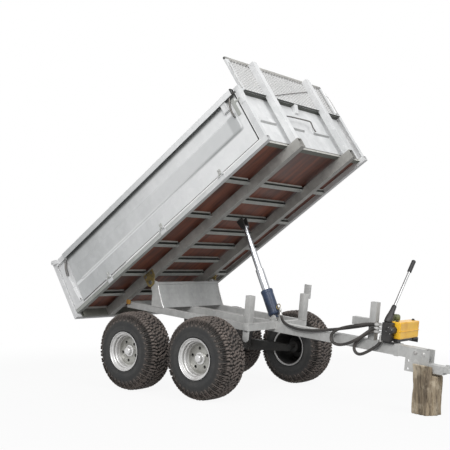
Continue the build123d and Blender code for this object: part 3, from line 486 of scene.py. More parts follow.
def make_stage():
    """A white floor that keeps the trailer's shadow, under a white world."""
    bpy.ops.mesh.primitive_circle_add(vertices=96, radius=FLOOR_HALF, fill_type="NGON",
                                      location=(0, 0, -0.0005))
    floor = bpy.context.object
    floor.name = "floor"
    m = Mat("floor_white", roughness=1.0)
    m.shader.inputs["Specular IOR Level"].default_value = 0.0
    m.colour((0.55, 0.55, 0.55))
    glow = m.node("ShaderNodeEmission", None, {"Color": (1, 1, 1), "Strength": 1.0})
    shaded = m.node("ShaderNodeMixShader", None, {0: FLOOR_GLOW, 1: m.shader.outputs[0], 2: glow.outputs[0]})
    across = m.node("ShaderNodeVectorMath", {"operation": "LENGTH"}, {0: m.place})
    far = Val(m, across.outputs["Value"]).step(FLOOR_FADE[0], FLOOR_FADE[1])
    white = m.node("ShaderNodeMixShader", None, {0: far, 1: shaded.outputs[0], 2: glow.outputs[0]})
    plain = m.node("ShaderNodeBsdfDiffuse", None, {"Color": (FLOOR_BOUNCE, FLOOR_BOUNCE, FLOOR_BOUNCE)})
    both = m.node("ShaderNodeMixShader", None,
                  {0: seen_directly(m.tree), 1: plain.outputs[0], 2: white.outputs[0]})
    m.feed(m.tree.nodes["Material Output"].inputs["Surface"], both.outputs[0])
    floor.data.materials.append(m.material)

    world = bpy.data.worlds.new("studio")
    bpy.context.scene.world = world
    world.use_nodes = True
    tree = world.node_tree
    back = tree.nodes["Background"]
    back.inputs["Color"].default_value = (0.97, 0.98, 1.0, 1)
    back.inputs["Strength"].default_value = SKY_LIGHT
    white = tree.nodes.new("ShaderNodeBackground")
    white.inputs["Color"].default_value = (1, 1, 1, 1)
    white.inputs["Strength"].default_value = 1.0
    mix = tree.nodes.new("ShaderNodeMixShader")
    tree.links.new(seen_directly(tree), mix.inputs[0])
    tree.links.new(back.outputs[0], mix.inputs[1])
    tree.links.new(white.outputs[0], mix.inputs[2])
    tree.links.new(mix.outputs[0], tree.nodes["World Output"].inputs["Surface"])

    for name, place, size, power in LAMPS:
        data = bpy.data.lights.new(name, "AREA")
        data.size = size
        data.energy = power
        lamp = bpy.data.objects.new(name, data)
        lamp.location = place
        lamp.rotation_mode = "QUATERNION"
        lamp.rotation_quaternion = (Vector((0, 0, 1.0)) - Vector(place)).to_track_quat("-Z", "Y")
        bpy.context.scene.collection.objects.link(lamp)
    bpy.context.scene.view_settings.view_transform = "Standard"


# Modelling

def deselect():
    bpy.ops.object.select_all(action="DESELECT")


def settle(piece, place=None):
    """Puts the piece's own place, and the frame that it was drawn in, into its mesh."""
    piece.data.transform(piece.matrix_world)
    piece.matrix_world = Matrix.Identity(4)
    if place is not None:
        piece.data.transform(place)


def activate(piece):
    deselect()
    piece.select_set(True)
    bpy.context.view_layer.objects.active = piece


def edit(piece):
    activate(piece)
    bpy.ops.object.mode_set(mode="EDIT")


def leave():
    bpy.ops.object.mode_set(mode="OBJECT")


def pick(piece, wanted, kind="faces"):
    """In edit mode, selects the faces, edges or points that the test wants."""
    mesh = bmesh.from_edit_mesh(piece.data)
    bpy.ops.mesh.select_all(action="DESELECT")
    bpy.ops.mesh.select_mode(type={"faces": "FACE", "edges": "EDGE", "verts": "VERT"}[kind])
    for item in getattr(mesh, kind):
        if wanted(item):
            item.select_set(True)
    bmesh.update_edit_mesh(piece.data)


def soften(piece, width, segments, smooth):
    """Rounds a piece's edges, and shades smooth what turns by less than an angle."""
    activate(piece)
    if width:
        modifier = piece.modifiers.new("soft_edges", "BEVEL")
        modifier.width = width
        modifier.segments = segments
        modifier.limit_method = "ANGLE"
        modifier.angle_limit = radians(35)
        bpy.ops.object.modifier_apply(modifier=modifier.name)
    bpy.ops.object.shade_smooth_by_angle(angle=radians(smooth))


def cut(piece, cutter):
    """Takes the cutter's shape out of a piece."""
    activate(piece)
    modifier = piece.modifiers.new("opening", "BOOLEAN")
    modifier.object = cutter
    modifier.solver = "EXACT"
    bpy.ops.object.modifier_apply(modifier=modifier.name)
    bpy.data.objects.remove(cutter)


def name_piece(piece, name, finish, body):
    """Names a piece and gives it a finish and the body that it rides."""
    piece.name = name
    piece.data.name = name
    if finish is not None:
        piece.data.materials.clear()
        piece.data.materials.append(finish)
    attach(piece, body)
    return piece


def finish_piece(piece, name, finish, body, bevel=0.0, segments=2, smooth=40, normals=False):
    """Softens a piece's edges, then names it and gives it a finish and a body."""
    if normals:
        edit(piece)
        bpy.ops.mesh.select_all(action="SELECT")
        bpy.ops.mesh.remove_doubles(threshold=1e-5)
        bpy.ops.mesh.normals_make_consistent(inside=False)
        leave()
    soften(piece, bevel, segments, smooth)
    return name_piece(piece, name, finish, body)


def join(pieces):
    deselect()
    for piece in pieces:
        piece.select_set(True)
    bpy.context.view_layer.objects.active = pieces[0]
    bpy.ops.object.join()
    return pieces[0]


def copy_of(piece, place):
    """A copy with its own mesh, moved by a matrix."""
    made = piece.copy()
    made.data = piece.data.copy()
    bpy.context.scene.collection.objects.link(made)
    made.data.transform(place)
    return made


def lathe(outline, steps, place):
    """A closed outline of (y, radius) points, spun about Y with the spin operator."""
    bpy.ops.mesh.primitive_plane_add(size=0.01, location=(0, 0, 0))
    piece = bpy.context.object
    edit(piece)
    bpy.ops.mesh.select_mode(type="VERT")
    bpy.ops.mesh.select_all(action="SELECT")
    bpy.ops.mesh.merge(type="CENTER")
    start = Vector((0, outline[0][0], outline[0][1]))
    bpy.ops.transform.translate(value=start)
    here = start
    for y, r in outline[1:]:
        there = Vector((0, y, r))
        bpy.ops.mesh.extrude_region_move(TRANSFORM_OT_translate={"value": there - here})
        here = there
    bpy.ops.mesh.select_all(action="SELECT")
    bpy.ops.mesh.spin(steps=steps, angle=2 * pi, center=(0, 0, 0), axis=(0, 1, 0))
    bpy.ops.mesh.select_all(action="SELECT")
    bpy.ops.mesh.remove_doubles(threshold=1e-6)
    bpy.ops.mesh.normals_make_consistent(inside=False)
    leave()
    settle(piece, place)
    return piece


def block(low, high, place=None):
    """A box between two corners, drawn in the frame that place gives."""
    low = Vector(low)
    high = Vector(high)
    bpy.ops.mesh.primitive_cube_add(size=1, location=(low + high) / 2)
    piece = bpy.context.object
    piece.scale = high - low
    bpy.context.view_layer.update()
    settle(piece, place)
    return piece


def bolt_head(centre, axis, radius, height, place=None, washer=1.45):
    """A hexagon head on a washer, with the head's edge turned down."""
    bpy.ops.mesh.primitive_cylinder_add(vertices=6, radius=radius, depth=height, location=(0, 0, height / 2))
    head = bpy.context.object
    edit(head)
    pick(head, lambda face: face.normal.z > 0.9)
    bpy.ops.mesh.inset(thickness=radius * 0.12, depth=height * 0.12)
    leave()
    settle(head)
    bpy.ops.mesh.primitive_cylinder_add(vertices=20, radius=radius * washer, depth=height * 0.3,
                                        location=(0, 0, height * 0.15))
    ring = bpy.context.object
    edit(ring)
    pick(ring, lambda face: face.normal.z > 0.9)
    bpy.ops.mesh.bevel(offset=height * 0.06, segments=1, affect="EDGES")
    leave()
    settle(ring)
    piece = join([head, ring])
    turn = Vector(axis).to_track_quat("Z", "Y").to_matrix().to_4x4()
    settle(piece, Matrix.Translation(centre) @ turn)
    if place is not None:
        piece.data.transform(place)
    return piece


# Cords, with the route's points on the chassis

FEED = ((0.6212, 0, 0.4031), (0.6389, 0, 0.3717), (0.664, -0.019, 0.345), (0.708, -0.048, 0.332),
        (0.764, -0.062, 0.317), (0.832, -0.065, 0.306), (0.908, -0.064, 0.305), (0.985, -0.058, 0.313),
        (1.066, -0.052, 0.328), (1.150, -0.049, 0.345), (1.236, -0.048, 0.365), (1.322, -0.047, 0.387),
        (1.404, -0.046, 0.409), (1.476, -0.043, 0.431), (1.543, -0.038, 0.452), (1.592, -0.038, 0.452))
RETURN = ((1.592, -0.066, 0.452), (1.540, -0.066, 0.452), (1.472, -0.067, 0.439), (1.404, -0.070, 0.420),
          (1.336, -0.072, 0.401), (1.280, -0.075, 0.382), (1.236, -0.078, 0.362), (1.207, -0.081, 0.341),
          (1.189, -0.085, 0.312), (1.192, -0.088, 0.279), (1.216, -0.091, 0.256), (1.249, -0.093, 0.248),
          (1.292, -0.094, 0.252), (1.346, -0.095, 0.270), (1.402, -0.093, 0.301), (1.456, -0.088, 0.341),
          (1.504, -0.078, 0.385), (1.548, -0.066, 0.425), (1.592, -0.066, 0.425))
LINK = ((1.592, -0.066, 0.398), (1.549, -0.066, 0.398), (1.497, -0.066, 0.372), (1.449, -0.065, 0.336),
        (1.414, -0.064, 0.302), (1.394, -0.063, 0.271), (1.389, -0.063, 0.241), (1.403, -0.064, 0.215),
        (1.429, -0.065, 0.201), (1.464, -0.066, 0.207), (1.505, -0.067, 0.230), (1.543, -0.067, 0.256),
        (1.576, -0.067, 0.281), (1.603, -0.066, 0.306), (1.615, -0.066, 0.336), (1.615, -0.066, 0.364))
HOSE_RADIUS = 0.0118
SLEEVE_RADIUS = 0.0131
NUT_RADIUS = 0.0134


def make_hose(name, route, ends):
    """A hose along its route, with a sleeve at each end that points along it."""
    curve = bpy.data.curves.new(name, "CURVE")
    curve.dimensions = "3D"
    curve.bevel_depth = HOSE_RADIUS
    curve.bevel_resolution = 4
    curve.resolution_u = 10
    curve.use_fill_caps = True
    spline = curve.splines.new("NURBS")
    spline.points.add(len(route) - 1)
    for point, place in zip(spline.points, route):
        point.co = (*(CHASSIS @ Vector(place)), 1)
    spline.order_u = 3
    spline.use_endpoint_u = True
    piece = bpy.data.objects.new(f"{name}_line", curve)
    bpy.context.scene.collection.objects.link(piece)
    piece.data.materials.append(HOSE)
    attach(piece, "chassis")
    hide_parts(name)
    for number, (start, toward) in enumerate(ends):
        sleeve = finish_piece(hose_sleeve(start, toward), f"{name}_sleeve_{number + 1}", STEEL,
                              "chassis", bevel=0.0008)


def hose_sleeve(start, toward):
    """A crimped sleeve on the hose's end, with its hexagon nut against the port."""
    start = Vector(start)
    direction = (Vector(toward) - start).normalized()
    turn = direction.to_track_quat("Z", "Y").to_matrix().to_4x4()
    bpy.ops.mesh.primitive_cylinder_add(vertices=28, radius=SLEEVE_RADIUS, depth=0.026, location=(0, 0, 0.022))
    sleeve = bpy.context.object
    edit(sleeve)
    pick(sleeve, lambda face: abs(face.normal.z) < 0.5)
    bpy.ops.mesh.subdivide(number_cuts=1)
    pick(sleeve, lambda face: abs(face.normal.z) > 0.9)
    bpy.ops.mesh.inset(thickness=0.0012, depth=0.0006)
    leave()
    settle(sleeve)
    bpy.ops.mesh.primitive_cylinder_add(vertices=6, radius=NUT_RADIUS, depth=0.010, location=(0, 0, 0.005))
    nut = bpy.context.object
    edit(nut)
    pick(nut, lambda face: abs(face.normal.z) > 0.9)
    bpy.ops.mesh.inset(thickness=0.0016, depth=0.0008)
    leave()
    settle(nut)
    piece = join([sleeve, nut])
    settle(piece, CHASSIS @ Matrix.Translation(start) @ turn)
    return piece


def make_hoses():
    make_hose("hose_feed", FEED, ((FEED[0], FEED[1]), (FEED[-1], FEED[-2])))
    make_hose("hose_return", RETURN, ((RETURN[0], RETURN[1]), (RETURN[-1], RETURN[-2])))
    make_hose("hose_link", LINK, ((LINK[0], LINK[1]), (LINK[-1], LINK[-2])))


# Wheels, modelled once at the origin with the outer side at -Y

TREAD_ROWS = 36
# half of the casing's outline, from bead to crown, as (y, radius)
CASE_SIDE = ((0.1175, 0.1502), (0.1300, 0.1640), (0.1335, 0.1690), (0.1362, 0.1740), (0.1366, 0.1775),
             (0.1352, 0.1800), (0.1372, 0.1900), (0.1384, 0.2050), (0.1388, 0.2180), (0.1384, 0.2260),
             (0.1370, 0.2360), (0.1345, 0.2470), (0.1300, 0.2600), (0.1235, 0.2730), (0.1150, 0.2860),
             (0.1040, 0.2970), (0.0900, 0.3050), (0.0700, 0.3110), (0.0400, 0.3150), (0.0, 0.3160))


def tyre_case():
    """The casing without its tread: beads, round sidewalls with a thin rib, and the crown."""
    outline = [(-y, r) for y, r in CASE_SIDE] + [(y, r) for y, r in reversed(CASE_SIDE[:-1])]
    outline.append((-CASE_SIDE[0][0], CASE_SIDE[0][1]))
    return lathe(outline, 96, Matrix.Identity(4))


def over_case(y, r):
    """How far a point stands out from the casing."""
    best = 1.0
    sign = 1.0
    for (y0, r0), (y1, r1) in zip(CASE_SIDE, CASE_SIDE[1:]):
        along = Vector((y1 - y0, r1 - r0))
        offset = Vector((abs(y) - y0, r - r0))
        share = min(1.0, max(0.0, offset.dot(along) / along.dot(along)))
        gap = (offset - along * share).length
        if gap < best:
            best = gap
            sign = 1.0 if along.x * offset.y - along.y * offset.x < 0 else -1.0
    return best * sign


def store_radius(piece, lugs=False):
    """Keeps each point's distance from the axle, and how far a lug's point stands out, for the colours."""
    radii = [sqrt(point.co.x ** 2 + point.co.z ** 2) for point in piece.data.vertices]
    store(piece, "axle_radius", radii)
    if lugs:
        rise = [over_case(point.co.y, radius) for point, radius in zip(piece.data.vertices, radii)]
        store(piece, "lug_height", [min(1.0, max(0.0, (value - 0.0015) / 0.0025)) for value in rise])


def store(piece, name, numbers):
    values = piece.data.attributes.new(name, "FLOAT", "POINT")
    for number, value in zip(numbers, values.data):
        value.value = number


def tread_block(y0, y1, length, top, slant):
    """One rubber block at the top of the wheel, narrower at its top, turned by its slant."""
    piece = block((-length / 2, y0, 0.304), (length / 2, y1, top))
    edit(piece)
    pick(piece, lambda face: face.normal.z > 0.9)
    bpy.ops.transform.resize(value=(0.80, 0.84, 1))
    bpy.ops.mesh.inset(thickness=0.0012, depth=0.0)
    bpy.ops.transform.translate(value=(0, 0, 0.0008))
    leave()
    middle = Matrix.Translation((0, (y0 + y1) / 2, 0))
    settle(piece, middle @ Matrix.Rotation(radians(slant), 4, "Z") @ middle.inverted())
    return piece


# how far out and down each part of a shoulder block goes, and its length against the one before
SHOULDER_STEPS = ((0.0138, 0.0105, 0.90), (0.0102, 0.0150, 0.88), (0.0064, 0.0170, 0.80), (0.0014, 0.0130, 0.7))


def shoulder_block(length, reach, slant):
    """A block that bends over the round shoulder and thins out down the sidewall."""
    piece = block((-length / 2, -0.1060, 0.282), (length / 2, -0.0800, 0.3215))
    edit(piece)
    pick(piece, lambda face: face.normal.z > 0.9)
    bpy.ops.transform.resize(value=(0.82, 0.94, 1))
    pick(piece, lambda point: point.co.z > 0.32 and point.co.y < -0.1, "verts")
    bpy.ops.transform.translate(value=(0, 0, -0.0065))
    for out, down, shrink in SHOULDER_STEPS:
        pick(piece, lambda face: face.normal.y < -0.3 and face.calc_center_median().y < -0.1055)
        bpy.ops.mesh.extrude_region_move(TRANSFORM_OT_translate={"value": (0, -out * reach, -down * reach)})
        bpy.ops.transform.resize(value=(0.96, 1, shrink))
    leave()
    middle = Matrix.Translation((0, -0.095, 0))
    settle(piece, middle @ Matrix.Rotation(radians(slant), 4, "Z") @ middle.inverted())
    return piece


# y from, y to, length, top radius, slant in degrees, place in the row
TREAD_BLOCKS = (
    (-0.0500, 0.0010, 0.0185, 0.3270, 34, 0.00), (-0.0290, 0.0040, 0.0150, 0.3262, 34, 0.50),
    (-0.0520, -0.0340, 0.0170, 0.3262, -30, 0.62),
    (-0.0780, -0.0530, 0.0200, 0.3250, -22, 0.18), (-0.0800, -0.0570, 0.0160, 0.3244, 24, 0.70),
)
# length, how far it reaches down the sidewall, slant in degrees, place in the row
SHOULDER_BLOCKS = ((0.0205, 1.00, 9, 0.02), (0.0180, 0.72, -7, 0.51))


def tread():
    """Rows of blocks all round, with the two halves turned and a quarter row apart."""
    masters = [(tread_block(*row[:5]), row[5]) for row in TREAD_BLOCKS]
    masters += [(shoulder_block(*row[:3]), row[3]) for row in SHOULDER_BLOCKS]
    for piece, _ in masters:
        soften(piece, 0.0011, 1, 50)
    pieces = []
    for row in range(TREAD_ROWS):
        for piece, phase in masters:
            wander = random.uniform(-0.09, 0.09)
            for half in (0, 1):
                turn = 2 * pi * (row + phase + half * 0.27 + wander) / TREAD_ROWS
                place = Matrix.Rotation(turn, 4, "Y") @ Matrix.Rotation(pi * half, 4, "Z")
                pieces.append(copy_of(piece, place))
    for piece, _ in masters:
        bpy.data.objects.remove(piece)
    return pieces


RIM_HOLES = 5


def rim_steel():
    """The deep stepped dish from lip to disc, with its holes, and the inner barrel, painted dark inside as shade."""
    outline = ((-0.1372, 0.1632), (-0.1380, 0.1600), (-0.1366, 0.1574), (-0.1330, 0.1552), (-0.1265, 0.1535),
               (-0.1240, 0.1500), (-0.1225, 0.1420), (-0.1190, 0.1390), (-0.0990, 0.1375), (-0.0965, 0.1350),
               (-0.0950, 0.1305), (-0.0920, 0.1285), (-0.0680, 0.1270), (-0.0640, 0.1250), (-0.0618, 0.1200),
               (-0.0615, 0.1120), (-0.0660, 0.1040), (-0.0665, 0.0620), (-0.0640, 0.0560), (-0.0640, 0.0300),
               (-0.0560, 0.0300), (-0.0560, 0.1280), (0.1255, 0.1420), (0.1340, 0.1500), (0.1376, 0.1580),
               (0.1376, 0.1632), (0.1300, 0.1580), (0.1175, 0.1501), (-0.1175, 0.1501), (-0.1300, 0.1580),
               (-0.1372, 0.1632))
    piece = lathe(outline, 80, Matrix.Identity(4))
    for hole in range(RIM_HOLES):
        bpy.ops.mesh.primitive_cylinder_add(vertices=28, radius=0.0130, depth=0.05, location=(0.080, 0, 0.060))
        cutter = bpy.context.object
        settle(cutter, Matrix.Rotation(2 * pi * hole / RIM_HOLES + 0.35, 4, "Y") @ Matrix.Rotation(pi / 2, 4, "X"))
        cut(piece, cutter)
    piece.data.materials.append(RIM)
    piece.data.materials.append(BLACK_AND_SHADE)
    # painted shade: faces behind the disc and inside the barrel take the near-black finish
    for face in piece.data.polygons:
        inside = sqrt(face.center.x ** 2 + face.center.z ** 2) < 0.150 and face.center.y > -0.0585
        face.material_index = 1 if inside else 0
    return piece


def brake_drum():
    """The dark hub and drum behind the disc."""
    outline = ((-0.0550, 0.0006), (-0.0550, 0.0880), (-0.0520, 0.0920), (-0.0100, 0.0940), (-0.0060, 0.0900),
               (-0.0040, 0.0600), (0.0300, 0.0520), (0.0560, 0.0480), (0.0580, 0.0006), (-0.0550, 0.0006))
    return lathe(outline, 40, Matrix.Identity(4))


def hub_cap():
    """The domed cap on a stepped flange."""
    outline = ((-0.0640, 0.0480), (-0.0700, 0.0470), (-0.0712, 0.0440), (-0.0716, 0.0365), (-0.0740, 0.0345),
               (-0.0880, 0.0335), (-0.0950, 0.0310), (-0.1000, 0.0260), (-0.1028, 0.0180), (-0.1039, 0.0090),
               (-0.1042, 0.0006), (-0.0600, 0.0006), (-0.0600, 0.0480), (-0.0640, 0.0480))
    return lathe(outline, 48, Matrix.Identity(4))


def valve_stem():
    """A short rubber stem with a narrower cap."""
    bpy.ops.mesh.primitive_cylinder_add(vertices=16, radius=0.0042, depth=0.034, location=(-0.095, 0.118, 0.088))
    stem = bpy.context.object
    edit(stem)
    pick(stem, lambda face: face.normal.z > 0.9)
    bpy.ops.mesh.inset(thickness=0.0012, depth=0.0)
    bpy.ops.mesh.extrude_region_move(TRANSFORM_OT_translate={"value": (0, 0, 0.008)})
    leave()
    settle(stem, Matrix.Rotation(pi / 2, 4, "X"))
    return stem


def make_wheels():
    """Models one wheel and copies it to the four hubs, each at a turn of its own."""
    case = tyre_case()
    soften(case, 0, 1, 60)
    rubber = join([case] + tread())
    store_radius(rubber, True)
    rim = rim_steel()
    soften(rim, 0, 1, 34)
    hub = hub_cap()
    soften(hub, 0, 1, 50)
    store_radius(rim)
    drum = brake_drum()
    soften(drum, 0, 1, 40)
    stem = valve_stem()
    soften(stem, 0.0006, 1, 40)
    masters = {"tyre": (rubber, RUBBER, "tyre"), "rim": (rim, None, "rim_paint"),
               "drum": (drum, BLACK_AND_SHADE, "black_paint"), "hub_cap": (hub, HUB, "rim_paint"),
               "valve": (stem, BLACK, "tyre")}
    turns = {"front_right": 0.55, "rear_right": 2.6, "front_left": 1.3, "rear_left": 4.1}
    for end, x in wheel_x.items():
        for side, out in SIDES:
            body = f"wheel_{end}_{side}"
            face = Matrix.Rotation(0 if side == "right" else pi, 4, "Z")
            place = (Matrix.Translation((x, out * wheel_y, wheel_z)) @ face
                     @ Matrix.Rotation(turns[f"{end}_{side}"], 4, "Y"))
            for kind, (master, finish, slot) in masters.items():
                piece = copy_of(master, place)
                name_piece(piece, f"{kind}_{end}_{side}", finish, body)
                if kind in ("tyre", "rim"):
                    piece.name = f"wheel_{kind}_{end}_{side}"
                    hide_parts(f"{kind}_{end}_{side}")
    for master, _, _ in masters.values():
        bpy.data.objects.remove(master)


# Bed's measures, about the tipping pivot and square to the bed

BED_INSIDE = 0.690
UPRIGHT_INNER = 0.352
UPRIGHT_OUTER = 0.408
FLOOR_UNDER = 0.134
CHANNEL_LOW = 0.093
SHEET_BACK = 1.7995
SHEET_FRONT = 1.8030
LIP_LOW = 0.5725
LIP_TOP = 0.5765
LIP_BACK = 1.8375
LIP_FRONT = 1.8560


# Mesh guard over the headboard

GUARD_X = (1.818, 1.838)
GUARD_HALF = 0.672
GUARD_RIGHT = -0.690
GUARD_LOW = 0.577
GUARD_TOP = 0.926
GUARD_BAR = 0.026
GUARD_FOOT_BAR = 0.008
STRAND_PITCH = 0.038
STRAND_SLOPE = radians(30)


def make_guard():
    """A welded frame of square tube round expanded mesh, whose strands cross as long diamonds."""
    x0, x1 = GUARD_X
    bars = [block((x0, GUARD_RIGHT, GUARD_LOW), (x1, GUARD_HALF, GUARD_LOW + GUARD_FOOT_BAR)),
            block((x0, GUARD_RIGHT, GUARD_TOP - GUARD_BAR), (x1, GUARD_HALF, GUARD_TOP)),
            block((x0, GUARD_RIGHT, GUARD_LOW), (x1, -GUARD_HALF + GUARD_BAR, GUARD_TOP)),
            block((x0, GUARD_HALF - GUARD_BAR, GUARD_LOW), (x1, GUARD_HALF, GUARD_TOP))]
    for bar in bars:
        soften(bar, 0.0022, 2, 40)
        bar.data.materials.append(GALVANISED)
        bar.data.materials.append(UNDERFRAME_AND_SHADE)
    # painted shade: the top bar takes the darker zinc
    for face in bars[1].data.polygons:
        face.material_index = 1
    frame_piece = join(bars)
    frame_piece.data.transform(BED)
    name_piece(frame_piece, "guard_frame", None, "bed")
    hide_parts("mesh_guard")

    half = GUARD_HALF - GUARD_BAR
    height = GUARD_TOP - GUARD_LOW - 2 * GUARD_BAR
    length = height / sin(STRAND_SLOPE) + 0.03
    middle = (GUARD_LOW + GUARD_TOP) / 2
    families = []
    for lean in (-1, 1):
        strand = block((-0.0013, -length / 2, -0.0027), (0.0013, length / 2, 0.0027))
        turn = Matrix.Rotation(lean * STRAND_SLOPE, 4, "X")
        first = Matrix.Translation((x1 - 0.0045 - lean * 0.0008, -half - length / 2, middle))
        settle(strand, first @ turn)
        modifier = strand.modifiers.new("strands", "ARRAY")
        modifier.count = int((2 * half + length) / STRAND_PITCH) + 2
        modifier.use_relative_offset = False
        modifier.use_constant_offset = True
        modifier.constant_offset_displace = (0, STRAND_PITCH, 0)
        activate(strand)
        bpy.ops.object.modifier_apply(modifier=modifier.name)
        families.append(strand)
    mesh = join(families)
    edit(mesh)
    low = GUARD_LOW + GUARD_FOOT_BAR
    high = GUARD_TOP - GUARD_BAR
    for place, normal in (((0, -half, 0), (0, -1, 0)), ((0, half, 0), (0, 1, 0)),
                          ((0, 0, low), (0, 0, -1)), ((0, 0, high), (0, 0, 1))):
        bpy.ops.mesh.select_all(action="SELECT")
        bpy.ops.mesh.bisect(plane_co=place, plane_no=normal, clear_outer=True, use_fill=True)
    leave()
    mesh.data.transform(BED)
    name_piece(mesh, "guard_mesh", GUARD_WIRE, "bed")
    wire = [(1.8415, -0.350, 0.588), (1.8425, -0.10, 0.662), (1.8425, 0.14, 0.732), (1.8415, 0.350, 0.790)]
    bent_rod("guard_cross_wire", wire, 0.0034, BED, DARK_STEEL, "bed")


# Bed: open channels under the floor, and the pressed headboard

CROSS_X = (-0.350, -0.020, 0.430, 0.861, 1.330)
SHORT_CROSS_X = (0.205, 0.645, 1.105)
CHANNEL_HALF = 0.020
CREASES = ((-0.620, -0.420), (-0.184, -0.030), (0.104, 0.345))


def channel(x, y0, y1):
    """A channel that opens to the front, with a turned-down upper lip and painted shade inside."""
    piece = block((x - CHANNEL_HALF, y0, CHANNEL_LOW), (x + CHANNEL_HALF, y1, FLOOR_UNDER))
    edit(piece)
    pick(piece, lambda face: face.normal.x > 0.9)
    bpy.ops.mesh.inset(thickness=0.0035)
    pick(piece, lambda point: point.co.x > x + 0.019 and 0.128 < point.co.z < 0.132, "verts")
    bpy.ops.transform.translate(value=(0, 0, -0.012))
    pick(piece, lambda face: face.normal.x > 0.9 and 0.100 < face.calc_center_median().z < 0.112)
    bpy.ops.mesh.extrude_region_move(TRANSFORM_OT_translate={"value": (-0.0365, 0, 0)})
    leave()
    piece.data.materials.append(CHANNEL)
    piece.data.materials.append(PAINTED_SHADE)
    # painted shade: the faces inside the channel take the near-black zinc
    for face in piece.data.polygons:
        middle = face.center
        inside = (middle.x < x + 0.0195 and 0.095 < middle.z < 0.132
                  and y0 + 0.002 < middle.y < y1 - 0.002)
        face.material_index = 1 if inside and face.normal.x > -0.5 else 0
    return piece


def make_cross_members():
    """Channels between the longitudinals, and out from them to the side rails."""
    members = [channel(x, -UPRIGHT_INNER, UPRIGHT_INNER) for x in CROSS_X + SHORT_CROSS_X]
    for x in CROSS_X:
        members += [channel(x, -BED_INSIDE, -UPRIGHT_OUTER), channel(x, UPRIGHT_OUTER, BED_INSIDE)]
    piece = join(members)
    piece.data.transform(BED)
    finish_piece(piece, "cross_channels", None, "bed", bevel=0.0008, segments=1)
    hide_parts("bed_cross_members")


def headboard_crease(y0, y1):
    """A pressed crease across the sheet: a long slope above and a short one below."""
    piece = block((1.8020, y0, 0.304), (1.8150, y1, 0.372))
    edit(piece)
    pick(piece, lambda point: point.co.x > 1.81 and point.co.z > 0.37, "verts")
    bpy.ops.transform.translate(value=(-0.0128, 0, 0))
    pick(piece, lambda point: point.co.x > 1.81 and point.co.z < 0.31, "verts")
    bpy.ops.transform.translate(value=(0, 0, 0.016))
    leave()
    return piece


def make_headboard():
    """The sheet with its deep forward lip between the uprights, a tab and the pressed creases, with painted shade
    under the lip and under the creases.
    """
    sheet = block((SHEET_BACK, -BED_INSIDE, FLOOR_UNDER), (SHEET_FRONT, BED_INSIDE, LIP_TOP))
    edit(sheet)
    for height in (0.300, 0.460):
        bpy.ops.mesh.select_all(action="SELECT")
        bpy.ops.mesh.bisect(plane_co=(0, 0, height), plane_no=(0, 0, 1))
    leave()
    pieces = [sheet]
    for x0, x1, y0, y1 in ((SHEET_BACK, LIP_BACK, -BED_INSIDE, BED_INSIDE),
                           (LIP_BACK, LIP_FRONT, -BED_INSIDE, -UPRIGHT_OUTER),
                           (LIP_BACK, LIP_FRONT, -UPRIGHT_INNER, UPRIGHT_INNER),
                           (LIP_BACK, LIP_FRONT, UPRIGHT_OUTER, BED_INSIDE)):
        lip = block((x0, y0, LIP_LOW), (x1, y1, LIP_TOP))
        soften(lip, 0.0006, 1, 40)
        pieces.append(lip)
    tab = block((1.8025, -0.022, 0.500), (1.8500, 0.022, 0.5730))
    edit(tab)
    pick(tab, lambda point: point.co.x > 1.84 and point.co.z < 0.51, "verts")
    bpy.ops.transform.translate(value=(-0.030, 0, 0))
    leave()
    soften(tab, 0.0015, 1, 40)
    pieces.append(tab)
    for y0, y1 in CREASES:
        pieces.append(headboard_crease(y0, y1))
    piece = join(pieces)
    piece.data.materials.append(GALVANISED)
    piece.data.materials.append(PAINTED_SHADE)
    piece.data.materials.append(TOWER_AND_SHADE)
    # painted shade: the lip's underside near-black, and the creases' lower slopes darker zinc
    for face in piece.data.polygons:
        middle = face.center
        lip_shadow = abs(middle.z - LIP_LOW) < 0.0005 and face.normal.z < -0.9
        crease_shade = 0.305 < middle.z < 0.325 and middle.x > 1.8035 and face.normal.z < -0.3
        face.material_index = 1 if lip_shadow else 2 if crease_shade else 0
    piece.data.transform(BED)
    finish_piece(piece, "headboard_sheet", None, "bed", smooth=20)
    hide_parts("headboard")


# Chassis: front posts with a folded guide, stops on the rails, caps on the crossbeam, and the log.
# Places are level, about the bogie's pivot.

POST_OUTER = 0.413
POST_INNER = 0.350
POST_REAR = 0.566
POST_FRONT = 0.618
RAIL_TOP = 0.324
BEAD_TOP = 0.325


def make_posts():
    """Square tubes that stand open at the top on the front crossbeam."""
    posts = []
    for _, out in SIDES:
        y0, y1 = sorted((out * POST_OUTER, out * POST_INNER))
        post = block((POST_REAR, y0, RAIL_TOP), (POST_FRONT, y1, 0.550))
        edit(post)
        pick(post, lambda face: face.normal.z > 0.9)
        bpy.ops.mesh.inset(thickness=0.004)
        bpy.ops.mesh.extrude_region_move(TRANSFORM_OT_translate={"value": (0, 0, -0.150)})
        leave()
        soften(post, 0.0035, 2, 40)
        posts.append(post)
    piece = join(posts)
    piece.data.transform(CHASSIS)
    name_piece(piece, "post_tubes", GALVANISED_FRAME, "chassis")
    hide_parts("support_posts")


